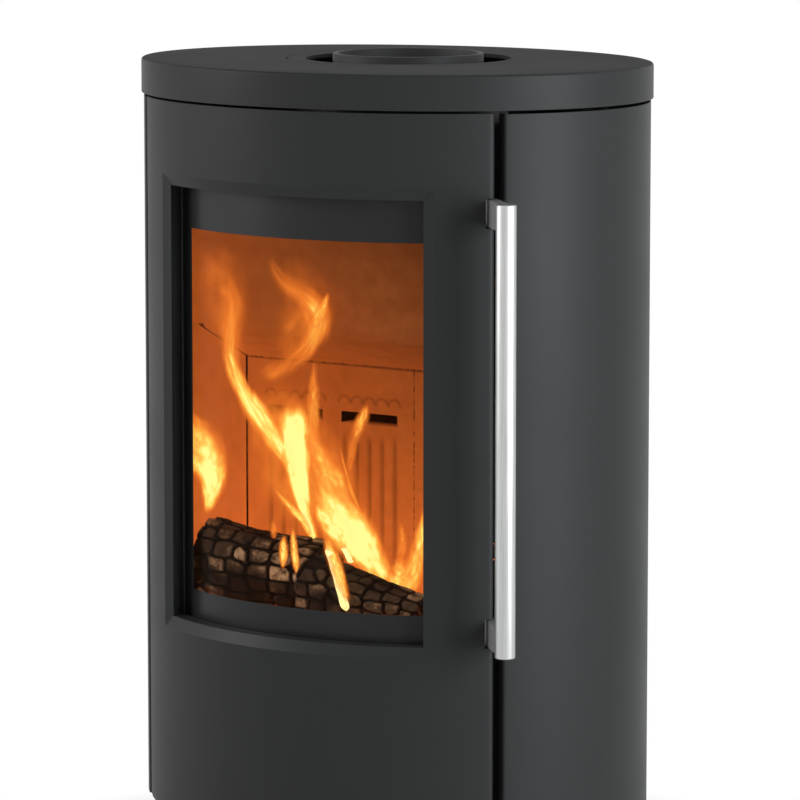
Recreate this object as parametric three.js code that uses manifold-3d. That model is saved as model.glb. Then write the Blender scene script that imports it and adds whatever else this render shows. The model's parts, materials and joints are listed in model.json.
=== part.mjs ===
// Free-standing wood stove with an oval plan, a tall curved door with a window, and a round steel bar handle.
// Millimetres, +Z up, the door faces -Y. The origin is on the floor, under the centre of the oval.
import * as THREE from 'three';
import { mergeVertices } from 'three/addons/utils/BufferGeometryUtils.js';
import Module from 'manifold-3d';

const wasm = await Module();
wasm.setup();

// ---------- driving dimensions ----------
const BODY_A = 250;             // half width of the oval body
const BODY_B = 204;             // half depth of the oval body
const TOP_Z = 790;              // top surface
const RIM_OVER = 2.3;           // top plate's overhang past the body
const RIM_HEIGHT = 32;
const GAP = 0.3;                // gap between pieces that touch
const CURVED_GAP = 0.6;         // the same between curved plates, whose facets don't line up
const OVAL_STEP = 6;            // degrees between points round the oval
const SHEET = 2;                // outer panels

const PLINTH = { inset: 16, wall: 3, foot: 28, top: 84 };
const BASE = { inset: 3, bottom: PLINTH.top + GAP, thick: 4 };
const BASE_TOP = BASE.bottom + BASE.thick;

const DOOR = { angle: 50.68, bottom: 91, top: 755.4, skin: 4, depth: 26, round: 5, flange: 10 };
const WINDOW = { half: 139.6, bottom: 273.2, top: 677.6, depth: 4.3, bevel: 10.6, collar: 3 };
const SEAT = { inset: 15.7, thick: 2.6, half: 155, bottom: 258, top: 693 };
const GLASS = { inset: 21, thick: 4, half: 144.5, bottom: 266, top: 684 };
const INNER = { inset: 19, thick: 4, half: 166, bottom: 100, top: 715, open: 147, openBottom: 263.5, openTop: 686.5 };
const CLIP_HALF = 100;
const ROPE = { half: 158.5, width: 6, bottom: 106, top: 709, inset: 23.8, thick: 6.6 };

const BOX = { inset: 31, plate: 4, bottom: BASE_TOP + GAP, top: 739.7, angle: 62, back: 100 };
const FIRE_OPEN = { half: 146, bottom: 250, top: 695 };
const ASH_OPEN = { half: 135, bottom: 114, top: 236 };
const SMOKE_TOP = { bottom: BOX.top + GAP, thick: 4 };
const HEARTH = { plate: 244, plateThick: 4, brickTop: 262 };
const SHELF = { bottom: 172, thick: 4 };
const BACK_PLATE = { front: 32, thick: 28, half: 194.6, top: 493 };
const BRICK_FRONT = { left: [162, -97], right: [164, -82] };    // inner front corners of the side bricks
const BAFFLE_SLOPE = 0.374;                 // rise of the lower baffle towards the door
const SLOT = { near: 20, width: 62, pitch: 86, bottom: 437, height: 10 };

const COLLAR = { y: 22.1, outer: 70.8, inner: 66, lip: 5.1, flange: 88, flangeThick: 5.7 };
const INSERT = { half: 113.7, hole: 96.7, seam: 0.5, thick: 3.7, ledge: 5 };
const TOP_SKIN = 8;

const HINGE = { along: 9, behind: 11, pin: 4, bore: 4.8 };    // from the door's left edge
const LATCH = { along: 12, behind: 13, shaft: 5, boss: 7.5, bottom: 262, top: 690 };
const HANDLE = { radius: 9.3, bottom: 273, top: 679, reach: 48, along: 1 };
const ARM = { thick: 10, height: 24.5, lower: 273.5, upper: 654 };
const NOTCH = { side: 8.8, above: 1 };
const HOOK = { width: 8, length: 40, nose: 4, height: 10, levels: [350, 600] };

const HOOP = { z: 715, height: 20, thick: 2.5, end: 58, legs: [75, 110, 145] };
const AIR = { x: 25, travel: 50, leverWidth: 12, leverThick: 4, leverBottom: 72 };

// ---------- finishes ----------
const finish = (color, roughness, metalness) => new THREE.MeshStandardMaterial({ color, roughness, metalness });
const BLACK_PAINT = finish(0x3a3d3e, 0.55, 0.2);
const DARK_STEEL = finish(0x2a2b2c, 0.7, 0.5);
const BRUSHED = finish(0xc8c9c8, 0.3, 0.9);
const ARM_GREY = finish(0x6a6b6b, 0.5, 0.6);
const CAST_IRON = finish(0x262626, 0.8, 0.4);
const FIREBRICK = finish(0xc9a878, 0.95, 0);
const ROPE_GREY = finish(0x55534f, 1, 0);
const CERAMIC_GLASS = finish(0x20201e, 0.08, 0);
const CHARRED = finish(0x2b2019, 0.95, 0);
const EMBER = finish(0xd0521a, 0.9, 0);

// ---------- geometry helpers ----------
const deg = THREE.MathUtils.degToRad;

// turns the faces round if they point inwards
function outward(geometry) {
  const p = geometry.attributes.position;
  const index = geometry.index.array;
  const [a, b, c] = [new THREE.Vector3(), new THREE.Vector3(), new THREE.Vector3()];
  let volume = 0;
  for (let i = 0; i < index.length; i += 3) {
    a.fromBufferAttribute(p, index[i]);
    b.fromBufferAttribute(p, index[i + 1]);
    c.fromBufferAttribute(p, index[i + 2]);
    volume += a.dot(b.cross(c));
  }
  if (volume < 0) {
    for (let i = 0; i < index.length; i += 3) [index[i], index[i + 1]] = [index[i + 1], index[i]];
  }
  return geometry;
}

// closed solid through a row of rings; flat is the ring's outline in its own plane, for the end caps
function loft(rings, outline, closed = false) {
  let flat = outline.map(([u, v]) => new THREE.Vector2(u, v));
  if (THREE.ShapeUtils.isClockWise(flat)) {
    flat = flat.reverse();
    rings = rings.map((ring) => [...ring].reverse());
  }
  const n = flat.length;
  const index = [];
  const spans = closed ? rings.length : rings.length - 1;
  for (let i = 0; i < spans; i++) {
    const here = i * n;
    const next = ((i + 1) % rings.length) * n;
    for (let j = 0; j < n; j++) {
      const k = (j + 1) % n;
      index.push(here + j, here + k, next + k, here + j, next + k, next + j);
    }
  }
  if (!closed) {
    const end = (rings.length - 1) * n;
    for (const [a, b, c] of THREE.ShapeUtils.triangulateShape(flat, [])) {
      index.push(c, b, a, end + a, end + b, end + c);
    }
  }
  const geometry = new THREE.BufferGeometry();
  geometry.setAttribute('position', new THREE.Float32BufferAttribute(rings.flat(2), 3));
  geometry.setIndex(index);
  return outward(geometry);
}

function solid(geometry) {
  const bare = geometry.clone();
  bare.deleteAttribute('normal');
  bare.deleteAttribute('uv');
  const merged = mergeVertices(bare, 1e-4);
  return new wasm.Manifold(new wasm.Mesh({
    numProp: 3,
    vertProperties: new Float32Array(merged.attributes.position.array),
    triVerts: new Uint32Array(merged.index.array),
  }));
}

function geometryOf(manifold) {
  const mesh = manifold.getMesh();
  const geometry = new THREE.BufferGeometry();
  geometry.setAttribute('position', new THREE.Float32BufferAttribute(mesh.vertProperties, 3));
  geometry.setIndex([...mesh.triVerts]);
  geometry.computeVertexNormals();
  return geometry;
}

const join = (...parts) => geometryOf(parts.map(solid).reduce((whole, part) => whole.add(part)));
const cut = (base, ...tools) => geometryOf(tools.map(solid).reduce((rest, tool) => rest.subtract(tool), solid(base)));
const common = (one, other) => geometryOf(solid(one).intersect(solid(other)));

// ---------- the oval ----------
// depth of the oval at x from its long axis, on the oval drawn in by inset
function ovalDepth(x, inset) {
  return (BODY_B - inset) * Math.sqrt(1 - (x / (BODY_A - inset)) ** 2);
}

// point of the oval at an angle in degrees from the front, positive towards +X
function ovalPoint(angle, inset) {
  return [(BODY_A - inset) * Math.sin(deg(angle)), -(BODY_B - inset) * Math.cos(deg(angle))];
}

function ovalAngles(from, to, step = OVAL_STEP) {
  const count = Math.ceil((to - from) / step);
  return Array.from({ length: count + 1 }, (_, i) => from + ((to - from) * i) / count);
}

// a profile of [inset, z] points carried round the oval; drop draws the profile in at some angles
function ovalSweep(profile, from, to, drop = null) {
  const closed = to - from === 360;
  const angles = drop ? drop.angles : ovalAngles(from, to);
  const rings = (closed ? angles.slice(0, -1) : angles).map((angle) => profile.map(([inset, z]) => {
    const [x, y] = ovalPoint(angle, drop ? Math.max(inset, drop.at(angle)) : inset);
    return [x, y, z];
  }));
  return loft(rings, profile, closed);
}

const ovalBand = (inset, thick, z0, z1, from, to) => ovalSweep(
  [[inset, z0], [inset, z1], [inset + thick, z1], [inset + thick, z0]], from, to);

// full oval solid through [inset, z] levels
function ovalStack(levels) {
  const angles = ovalAngles(0, 360).slice(0, -1);
  const rings = levels.map(([inset, z]) => angles.map((angle) => [...ovalPoint(angle, inset), z]));
  return loft(rings, angles.map((angle) => ovalPoint(angle, 0)));
}

// block that follows the oval's front between two insets; each side has its own edges
function frontBlock(outer, inner, steps = 14) {
  const rings = Array.from({ length: steps + 1 }, (_, i) => {
    const s = i / steps;
    const xo = THREE.MathUtils.lerp(outer.x0, outer.x1, s);
    const xi = THREE.MathUtils.lerp(inner.x0, inner.x1, s);
    const yo = -ovalDepth(xo, outer.inset);
    const yi = -ovalDepth(xi, inner.inset);
    return [[xo, yo, outer.z0], [xo, yo, outer.z1], [xi, yi, inner.z1], [xi, yi, inner.z0]];
  });
  return loft(rings, [[0, 0], [0, 1], [1, 1], [1, 0]]);
}

const frontPlate = (x0, x1, z0, z1, inset, thick, steps) => frontBlock(
  { x0, x1, z0, z1, inset }, { x0, x1, z0, z1, inset: inset + thick }, steps);

// ---------- plain shapes ----------
function box(x0, x1, y0, y1, z0, z1) {
  const geometry = new THREE.BoxGeometry(x1 - x0, y1 - y0, z1 - z0);
  return geometry.translate((x0 + x1) / 2, (y0 + y1) / 2, (z0 + z1) / 2);
}

function rod(radius, z0, z1, x, y, sides = 16) {
  const geometry = new THREE.CylinderGeometry(radius, radius, z1 - z0, sides);
  return geometry.rotateX(Math.PI / 2).translate(x, y, (z0 + z1) / 2);
}

// plan outline of [x, y] points with an upright height
function upright(points, z0, z1) {
  return new THREE.ExtrudeGeometry(new THREE.Shape(points.map(([x, y]) => new THREE.Vector2(x, y))),
    { depth: z1 - z0, bevelEnabled: false }).translate(0, 0, z0);
}

// side outline of [y, z] points carried along x
function sideways(points, x0, x1) {
  const rings = [x0, x1].map((x) => points.map(([y, z]) => [x, y, z]));
  return loft(rings, points);
}

// solid of revolution about a vertical axis at (x, y) from closed [radius, z] points
function turned(points, x, y, sides = 36) {
  const loop = [...points, points[0]].map(([r, z]) => new THREE.Vector2(r, z));
  const geometry = new THREE.LatheGeometry(loop, sides).rotateX(Math.PI / 2).scale(1, -1, 1).translate(x, y, 0);
  geometry.deleteAttribute('normal');
  geometry.deleteAttribute('uv');
  return outward(mergeVertices(geometry, 1e-4));
}

// round stud square to the oval's front at x, between two insets
function stud(x, z, radius, insetFrom, insetTo, sides = 12) {
  const y = -ovalDepth(x, insetFrom);
  const out = new THREE.Vector2(x / BODY_A ** 2, y / BODY_B ** 2).normalize();
  const length = insetTo - insetFrom;
  const geometry = new THREE.CylinderGeometry(radius, radius, length, sides);
  geometry.rotateZ(Math.atan2(out.y, out.x) - Math.PI / 2);
  return geometry.translate(x - out.x * length / 2, y - out.y * length / 2, z);
}

// frame on a door edge: along runs into the door, behind runs inwards from its surface
function edgeFrame(side) {
  const [x, y] = ovalPoint(side * DOOR.angle, 0);
  const out = new THREE.Vector2(x / BODY_A ** 2, y / BODY_B ** 2).normalize();
  const into = new THREE.Vector2(side * out.y, -side * out.x);
  return (along, outwards) => [
    x + into.x * along + out.x * outwards,
    y + into.y * along + out.y * outwards,
  ];
}
const leftEdge = edgeFrame(-1);
const rightEdge = edgeFrame(1);
const hingeAt = leftEdge(HINGE.along, -HINGE.behind);
const shaftAt = rightEdge(LATCH.along, -LATCH.behind);
const barAt = rightEdge(HANDLE.along, HANDLE.reach);
const edgePlate = (frame, corners, z0, z1) => {
  const points = corners.map(([along, outwards]) => frame(along, outwards));
  const turn = THREE.ShapeUtils.isClockWise(points.map(([x, y]) => new THREE.Vector2(x, y)));
  return upright(turn ? points.reverse() : points, z0, z1);
};

// ---------- base ----------
function plinthRing() {
  const { inset, wall, foot, top } = PLINTH;
  const profile = [[inset, 0], [inset, top], [inset + wall, top], [inset + wall, wall], [inset + foot, wall],
    [inset + foot, 0]];
  const half = (AIR.travel + AIR.leverWidth) / 2 + 4;
  const slot = box(-half, half, -BODY_B, -BODY_B + 40, AIR.leverBottom - 3, AIR.leverBottom + AIR.leverThick + 3);
  return cut(ovalSweep(profile, 0, 360), slot);
}

const airHoleSpans = [[-45, -25], [30, 50]];

function basePlate() {
  const { inset, bottom } = BASE;
  const below = bottom - 1;
  const above = BASE_TOP + 1;
  const vents = [[68, 84], [96, 112], [135, 151], [172, 188], [209, 225], [248, 264], [276, 292]]
    .map(([from, to]) => ovalBand(9, 16, below, above, from, to));
  const airHoles = airHoleSpans.map(([x0, x1]) => box(x0, x1, -60, 20, below, above));
  return cut(ovalStack([[inset, bottom], [inset, BASE_TOP]]), ...vents, ...airHoles,
    rod(HINGE.bore, below, above, ...hingeAt));
}

// ---------- outer shell ----------
function sidePanel(side) {
  const front = 52.8;
  const back = 149.8;
  const bottom = BASE_TOP + GAP;
  const [from, to] = side > 0 ? [front, back] : [-back, -front];
  const edge = side > 0 ? [front, front + 0.5] : [-front - 0.5, -front];
  const fold = ovalBand(0, 14, bottom, DOOR.top - 0.4, ...edge);
  return join(ovalBand(0, SHEET, bottom, DOOR.top - 0.4, from, to), fold);
}

function backPanel() {
  const bottom = BASE_TOP + GAP;
  const slots = [];
  for (const z of [120, 640]) {
    for (let i = -4; i <= 4; i++) slots.push(box(i * 22 - 4, i * 22 + 4, BODY_B - 40, BODY_B + 5, z, z + 70));
  }
  return cut(ovalBand(0, SHEET, bottom, DOOR.top - 0.4, 150.2, 209.8), ...slots);
}

// hoop that the outer panels are screwed to, held off the fire box by short legs
function panelHoop() {
  const { z, height, thick, end } = HOOP;
  const inset = SHEET + GAP;
  const legs = HOOP.legs.flatMap((angle) => [angle, 360 - angle])
    .map((angle) => ovalBand(inset + 1, BOX.inset - inset - 1 - GAP, z, z + height, angle - 2, angle + 2));
  return join(ovalBand(inset, thick, z, z + height, end, 360 - end), ...legs);
}

function insertOutline(grow) {
  const half = INSERT.half + grow;
  const arc = [];
  for (let a = 180; a <= 360; a += 7.5) {
    arc.push([half * Math.cos(deg(a)), COLLAR.y + half * Math.sin(deg(a))]);
  }
  return [...arc, [half, BODY_B + 20], [-half, BODY_B + 20]];
}

const capSolid = () => ovalStack([[-RIM_OVER, TOP_Z - RIM_HEIGHT], [-RIM_OVER, TOP_Z - 1.6],
  [-RIM_OVER + 0.6, TOP_Z - 0.5], [-RIM_OVER + 1.8, TOP_Z]]);
const capHollow = () => ovalStack([[3, TOP_Z - RIM_HEIGHT - 1], [3, TOP_Z - TOP_SKIN]]);

function topPlate() {
  const shoulder = TOP_Z - INSERT.thick - GAP;
  const seat = upright(insertOutline(INSERT.seam), shoulder, TOP_Z + 1);
  const well = upright(insertOutline(-INSERT.ledge), TOP_Z - TOP_SKIN - 1, TOP_Z);
  const rearRim = box(-INSERT.half - INSERT.seam, INSERT.half + INSERT.seam, BODY_B * 0.82, BODY_B + 10,
    TOP_Z - RIM_HEIGHT - 1, TOP_Z + 1);
  return cut(capSolid(), capHollow(), seat, well, rearRim);
}

function topInsert() {
  const plate = upright(insertOutline(0), TOP_Z - INSERT.thick, TOP_Z + 1);
  const apron = box(-INSERT.half, INSERT.half, BODY_B * 0.84, BODY_B + 10, TOP_Z - RIM_HEIGHT - 1, TOP_Z + 1);
  const whole = common(cut(capSolid(), ovalStack([[3, TOP_Z - RIM_HEIGHT - 1], [3, TOP_Z - INSERT.thick]])),
    join(plate, apron));
  return cut(whole, rod(INSERT.hole, TOP_Z - 20, TOP_Z + 5, 0, COLLAR.y, 36));
}

// bent strip on the smoke box that carries one side of the top plate
function topSupport(side) {
  const foot = SMOKE_TOP.bottom + SMOKE_TOP.thick + GAP;
  const head = TOP_Z - TOP_SKIN - GAP;
  const [a, b] = side > 0 ? [150, 180] : [-180, -150];
  const web = side > 0 ? [a, a + 3] : [b - 3, b];
  return join(box(a, b, -40, 40, foot, foot + 3), box(a, b, -40, 40, head - 3, head), box(...web, -40, 40, foot, head));
}

// ---------- fire box ----------
// plan of the fire box drawn in by inset, cut off square at the back
function chamberPlan(inset, back, z0, z1) {
  return common(ovalStack([[inset, z0], [inset, z1]]), box(-BODY_A, BODY_A, -BODY_B, back, z0 - 1, z1 + 1));
}

function fireboxFront() {
  const { inset, plate, bottom, top, angle } = BOX;
  const hole = ({ half, bottom: low, top: high }) => frontPlate(-half, half, low, high, inset - 3, plate + 8);
  const [sx] = shaftAt;
  const slots = HOOK.levels.map((z) => box(sx - HOOK.width / 2 - 6, sx + 13.5, -BODY_B, -70, z - 3,
    z + HOOK.height + 3));
  return cut(ovalBand(inset, plate, bottom, top, -angle, angle), hole(FIRE_OPEN), hole(ASH_OPEN), ...slots);
}

function fireboxWall(side) {
  const { inset, plate, bottom, top, angle, back } = BOX;
  const end = 180 - THREE.MathUtils.radToDeg(Math.acos((back - GAP) / (BODY_B - inset)));
  const [from, to] = side > 0 ? [angle + 0.15, end] : [-end, -angle - 0.15];
  return ovalBand(inset, plate, bottom, top, from, to);
}

function fireboxBack() {
  const half = (BODY_A - BOX.inset) * Math.sqrt(1 - (BOX.back / (BODY_B - BOX.inset)) ** 2);
  return box(-half, half, BOX.back, BOX.back + BOX.plate, BOX.bottom, BOX.top);
}

function smokeBoxTop() {
  const { bottom, thick } = SMOKE_TOP;
  return cut(chamberPlan(BOX.inset, BOX.back + BOX.plate, bottom, bottom + thick),
    rod(COLLAR.inner, bottom - 1, bottom + thick + 1, 0, COLLAR.y, 36));
}

const DUCT = { half: 170, front: BACK_PLATE.front + BACK_PLATE.thick + GAP, back: 97, wall: 2, bottom: 130.3, top: 700 };
const ductNotch = (z0, z1) => box(-DUCT.half - 1, DUCT.half + 1, DUCT.front - 1, BOX.back + 1, z0, z1);
const insideInset = BOX.inset + BOX.plate + 2 * GAP;

function fireboxFloor() {
  const top = HEARTH.plate + HEARTH.plateThick;
  return cut(chamberPlan(insideInset, BOX.back - GAP, HEARTH.plate, top), ductNotch(HEARTH.plate - 1, top + 1),
    box(-74, 74, -104, -16, HEARTH.plate - 1, top + 1));
}

function hearthBrick() {
  const bottom = HEARTH.plate + HEARTH.plateThick + GAP;
  return cut(chamberPlan(insideInset, DUCT.front - 1.5, bottom, HEARTH.brickTop),
    box(-86, 86, -116, -4, bottom - 1, HEARTH.brickTop + 1));
}

function grate() {
  const bottom = HEARTH.plate + HEARTH.plateThick + GAP;
  const slots = [];
  for (let i = -5; i <= 5; i++) slots.push(box(i * 13 - 3.5, i * 13 + 3.5, -100, -20, bottom - 1, 264));
  return cut(box(-85, 85, -115, -5, bottom, HEARTH.brickTop), ...slots);
}

// the right brick is shorter, to leave room for the latch hooks
function sideBrick(side) {
  const bottom = HEARTH.brickTop + GAP;
  const wall = insideInset + 0.4;
  const [frontX, frontY] = side > 0 ? BRICK_FRONT.right : BRICK_FRONT.left;
  const rear = BACK_PLATE.front - 0.7;
  const outer = ovalAngles(56, 101).map((angle) => ovalPoint(angle, wall));
  const plan = [...outer.filter(([, y]) => y > frontY && y < rear),
    [ovalHalfWidth(rear, wall), rear], [BACK_PLATE.half + 0.4, rear], [frontX, frontY],
    [ovalHalfWidth(frontY, wall), frontY]];
  const block = upright(plan.map(([x, y]) => [side * x, y]), bottom, 560);
  const lid = sideways([[60, baffleUnder(60) - GAP], [60, 620], [-140, 620], [-140, baffleUnder(-140) - GAP]],
    -BODY_A, BODY_A);
  return cut(block, lid);
}

// half width of the drawn-in oval at depth y
function ovalHalfWidth(y, inset) {
  return (BODY_A - inset) * Math.sqrt(1 - (y / (BODY_B - inset)) ** 2);
}

// height of the lower baffle's underside at depth y
const baffleUnder = (y) => BACK_PLATE.top + 1 + (BACK_PLATE.front - 2 - y) * BAFFLE_SLOPE;

// ribbed cast back plate with two air slots
function backPlate(side) {
  const { front, thick, half, top } = BACK_PLATE;
  const bottom = HEARTH.brickTop + GAP;
  const [x0, x1] = side > 0 ? [0.2, half] : [-half, -0.2];
  const tools = [0, 1].map((i) => {
    const near = SLOT.near + i * SLOT.pitch;
    const [a, b] = side > 0 ? [near, near + SLOT.width] : [-near - SLOT.width, -near];
    return box(a, b, front - 1, front + thick + 1, SLOT.bottom, SLOT.bottom + SLOT.height);
  });
  for (let i = 0; i < 9; i++) {
    const x = side * (24 + i * 18.5);
    tools.push(box(x - 3, x + 3, front - 1, front + 3, bottom + 20, SLOT.bottom - 12));
  }
  return cut(box(x0, x1, front, front + thick, bottom, top), ...tools);
}

function baffleLower() {
  const rear = DUCT.front - 1.5;
  const level = BACK_PLATE.front - 2;
  const front = -95;
  const under = [[rear, BACK_PLATE.top + 1], [level, BACK_PLATE.top + 1], [front, baffleUnder(front)]];
  const over = [[front + 7, baffleUnder(front) + 20], [level, BACK_PLATE.top + 22], [rear, BACK_PLATE.top + 21]];
  return common(sideways([...under, ...over], -BODY_A, BODY_A), chamberPlan(insideInset + 1, rear + 1, 400, 700));
}

// the right end stops short, to leave room for the latch shaft
function baffleUpper() {
  const foot = baffleUnder(-95) + 20.5;
  return sideways([[-88, foot], [-80, foot], [-94, 652], [-102, 652]], -168, 150);
}

const airwashPlate = () => frontPlate(-165, 165, 695, BOX.top - GAP, 40, 2);

function airBox() {
  const { wall, front, back, bottom } = DUCT;
  const low = BASE_TOP + GAP;
  const top = bottom - GAP;
  return cut(box(-105, 105, -90, back + 1, low, top),
    box(-103, 103, -88, back - 1, low - 1, top - wall),
    box(-98, 98, front + wall + 1, back - wall - 1, top - wall - 1, top + 1));
}

function rearDuct() {
  const { half, front, back, wall, bottom, top } = DUCT;
  const slots = [-1, 1].flatMap((side) => [0, 1].map((i) => {
    const near = SLOT.near + i * SLOT.pitch;
    const [a, b] = side > 0 ? [near, near + SLOT.width] : [-near - SLOT.width, -near];
    return box(a, b, front - 1, front + wall + 1, SLOT.bottom, SLOT.bottom + SLOT.height);
  }));
  return cut(box(-half, half, front, back, bottom, top),
    box(-half + wall, half - wall, front + wall, back - wall, bottom - 1, top - wall), ...slots);
}

function ashShelf() {
  const top = SHELF.bottom + SHELF.thick;
  return cut(chamberPlan(insideInset, BOX.back - GAP, SHELF.bottom, top), ductNotch(SHELF.bottom - 1, top + 1));
}

function ashPan() {
  const bottom = SHELF.bottom + SHELF.thick + GAP;
  const pan = cut(box(-115, 115, -128, 50, bottom, 232), box(-113, 113, -126, 48, bottom + 2, 240));
  return join(pan, box(-30, 30, -138, -127.5, 214, 218));
}

// ---------- flue collar ----------
function flueCollar() {
  const foot = SMOKE_TOP.bottom + SMOKE_TOP.thick + GAP;
  const { outer, inner, flange, flangeThick, y, lip } = COLLAR;
  return turned([[inner, foot], [flange, foot], [flange, foot + flangeThick], [outer, foot + flangeThick],
    [outer, TOP_Z + lip - 1], [outer - 1, TOP_Z + lip], [inner + 0.8, TOP_Z + lip], [inner, TOP_Z + lip - 1]], 0, y);
}

function collarBolt(angle) {
  const seat = SMOKE_TOP.bottom + SMOKE_TOP.thick + COLLAR.flangeThick + 2 * GAP;
  return rod(5.5, seat, seat + 5, 80 * Math.cos(deg(angle)), COLLAR.y + 80 * Math.sin(deg(angle)), 6);
}

// ---------- door ----------
// outer skin, rounded back along its two upright edges
function doorSkin() {
  const { angle, bottom, top, skin, round } = DOOR;
  const mmPerDegree = deg(1) * Math.hypot(BODY_A * Math.cos(deg(angle)), BODY_B * Math.sin(deg(angle)));
  const at = (a) => {
    const fromEdge = (angle - Math.abs(a)) * mmPerDegree;
    return fromEdge >= round ? 0 : 0.64 * (round - Math.sqrt(round ** 2 - (round - fromEdge) ** 2));
  };
  const near = [0, 0.15, 0.5, 1.25].map((d) => angle - d);
  const middle = ovalAngles(-near[3], near[3]).slice(1, -1);
  const angles = [...near.map((a) => -a), ...middle, ...[...near].reverse()];
  const profile = [[1.2, bottom], [0, bottom + 1.2], [0, top - 1.2], [1.2, top], [skin, top], [skin, bottom]];
  return ovalSweep(profile, -angle, angle, { angles, at });
}

function windowCut() {
  const { half, bottom, top, depth, bevel } = WINDOW;
  const proud = bevel * 1.25;
  const outer = { x0: -half - proud, x1: half + proud, z0: bottom - proud, z1: top + proud, inset: -depth * 0.25 };
  const inner = { x0: -half, x1: half, z0: bottom, z1: top, inset: depth };
  return [frontBlock(outer, inner), frontPlate(-half, half, bottom, top, depth - 0.5, 24)];
}

function armNotch(z) {
  return edgePlate(rightEdge, [[-6, 6], [NOTCH.side, 6], [NOTCH.side, -24], [-6, -24]], z - NOTCH.above,
    z + ARM.height + NOTCH.above);
}

function doorPanel() {
  const { angle, bottom, top, skin, depth, flange } = DOOR;
  const { half, bottom: low, top: high, collar } = WINDOW;
  const lip = skin - 0.5;
  const end = angle - 0.06;
  const sides = [[-end, -end + 0.75], [end - 0.75, end]]
    .map((span) => ovalBand(lip, flange - lip, bottom + 0.5, top - 0.5, ...span));
  const shelves = [[bottom, bottom + 3], [top - 3, top]]
    .map(([z0, z1]) => ovalBand(lip, depth - lip, z0, z1, -end + 0.3, end - 0.3));
  const reveal = frontPlate(-half - collar, half + collar, low - collar, high + collar, lip,
    SEAT.inset + SEAT.thick / 2 - lip);
  const seat = frontPlate(-SEAT.half, SEAT.half, SEAT.bottom, SEAT.top, SEAT.inset, SEAT.thick);
  const pinHoles = [[bottom - 1, bottom + 4], [top - 4, top + 1]]
    .map(([z0, z1]) => rod(HINGE.bore, z0, z1, ...hingeAt));
  return cut(join(doorSkin(), ...sides, ...shelves, reveal, seat), ...windowCut(), ...pinHoles,
    armNotch(ARM.lower), armNotch(ARM.upper));
}

function doorInnerFrame() {
  const { inset, thick, half, bottom, top, open, openBottom, openTop } = INNER;
  return cut(frontPlate(-half, half, bottom, top, inset, thick),
    frontPlate(-open, open, openBottom, openTop, inset - 1, thick + 2));
}

const glassPane = () => frontPlate(-GLASS.half, GLASS.half, GLASS.bottom, GLASS.top, GLASS.inset, GLASS.thick);

// flat rope between the window seat and the glass
function glassSeal() {
  const inset = SEAT.inset + SEAT.thick + CURVED_GAP;
  const thick = GLASS.inset - inset - CURVED_GAP;
  const { half, bottom, top } = GLASS;
  return cut(frontPlate(-half, half, bottom, top, inset, thick),
    frontPlate(-half + 4.4, half - 4.4, bottom + 6, top - 6, inset - 1, thick + 2));
}

// stepped strip that holds one end of the glass: way is 1 at the top and -1 at the bottom
function glassClip(edge, way) {
  const under = INNER.inset + INNER.thick + GAP;
  const over = GLASS.inset + GLASS.thick + GAP;
  const span = (a, b) => [edge + way * a, edge + way * b].sort((p, q) => p - q);
  return join(frontPlate(-CLIP_HALF, CLIP_HALF, ...span(-5, 16), over, 2, 12),
    frontPlate(-CLIP_HALF, CLIP_HALF, ...span(4, 16), under, over + 1 - under, 12));
}

function clipScrew(edge, way) {
  const seat = GLASS.inset + GLASS.thick + 2 + 2 * GAP;
  return stud(0, edge + way * 10, 4, seat, seat + 2.4);
}

function doorSeal() {
  const { half, width, bottom, top, inset, thick } = ROPE;
  return cut(frontPlate(-half, half, bottom, top, inset, thick),
    frontPlate(-half + width, half - width, bottom + width, top - width, inset - 1, thick + 2));
}

// ---------- door hinges ----------
function hingeBracket() {
  const z = TOP_Z - RIM_HEIGHT - 1;
  const plate = edgePlate(leftEdge, [[2, -4.6], [16, -4.6], [16, -50], [2, -50]], z, z + 4);
  const leg = edgePlate(leftEdge, [[2, -36], [16, -36], [16, -50], [2, -50]], SMOKE_TOP.bottom + SMOKE_TOP.thick + GAP,
    z + 1);
  return cut(join(plate, leg), rod(HINGE.pin + GAP, z - 1, z + 5, ...hingeAt));
}

function hingePinUpper() {
  const z = TOP_Z - RIM_HEIGHT + 3;
  return join(rod(HINGE.pin, DOOR.top - 10, z + 1, ...hingeAt), rod(6.2, z + GAP, z + 3, ...hingeAt));
}

// lower pin with the collar that carries the door
const hingePinLower = () => join(rod(HINGE.pin, BASE.bottom, DOOR.bottom + 10, ...hingeAt),
  rod(8, BASE_TOP + GAP, DOOR.bottom - GAP, ...hingeAt, 24));

// ---------- latch and handle ----------
function latchBearing(z) {
  const { along, shaft } = LATCH;
  return cut(edgePlate(rightEdge, [[along - 7, -4.8], [along + 7, -5.4], [along + 7, -18.5], [along - 7, -21]], z, z + 10),
    rod(shaft + 0.4, z - 1, z + 11, ...shaftAt, 16));
}

// upright shaft with its two hooks welded on
function latchShaft() {
  const [x, y] = shaftAt;
  const { width, length, nose, height } = HOOK;
  const hooks = HOOK.levels.flatMap((z) => [
    upright([[x - width / 2, y], [x + width / 2, y], [x + width / 2, y + length],
      [x - width / 2 - nose, y + length], [x - width / 2 - nose, y + length - 9],
      [x - width / 2, y + length - 11]], z, z + height),
    rod(LATCH.boss, z, z + height, x, y, 24)]);
  return join(rod(LATCH.shaft, LATCH.bottom, LATCH.top, x, y, 12), ...hooks);
}

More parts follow.
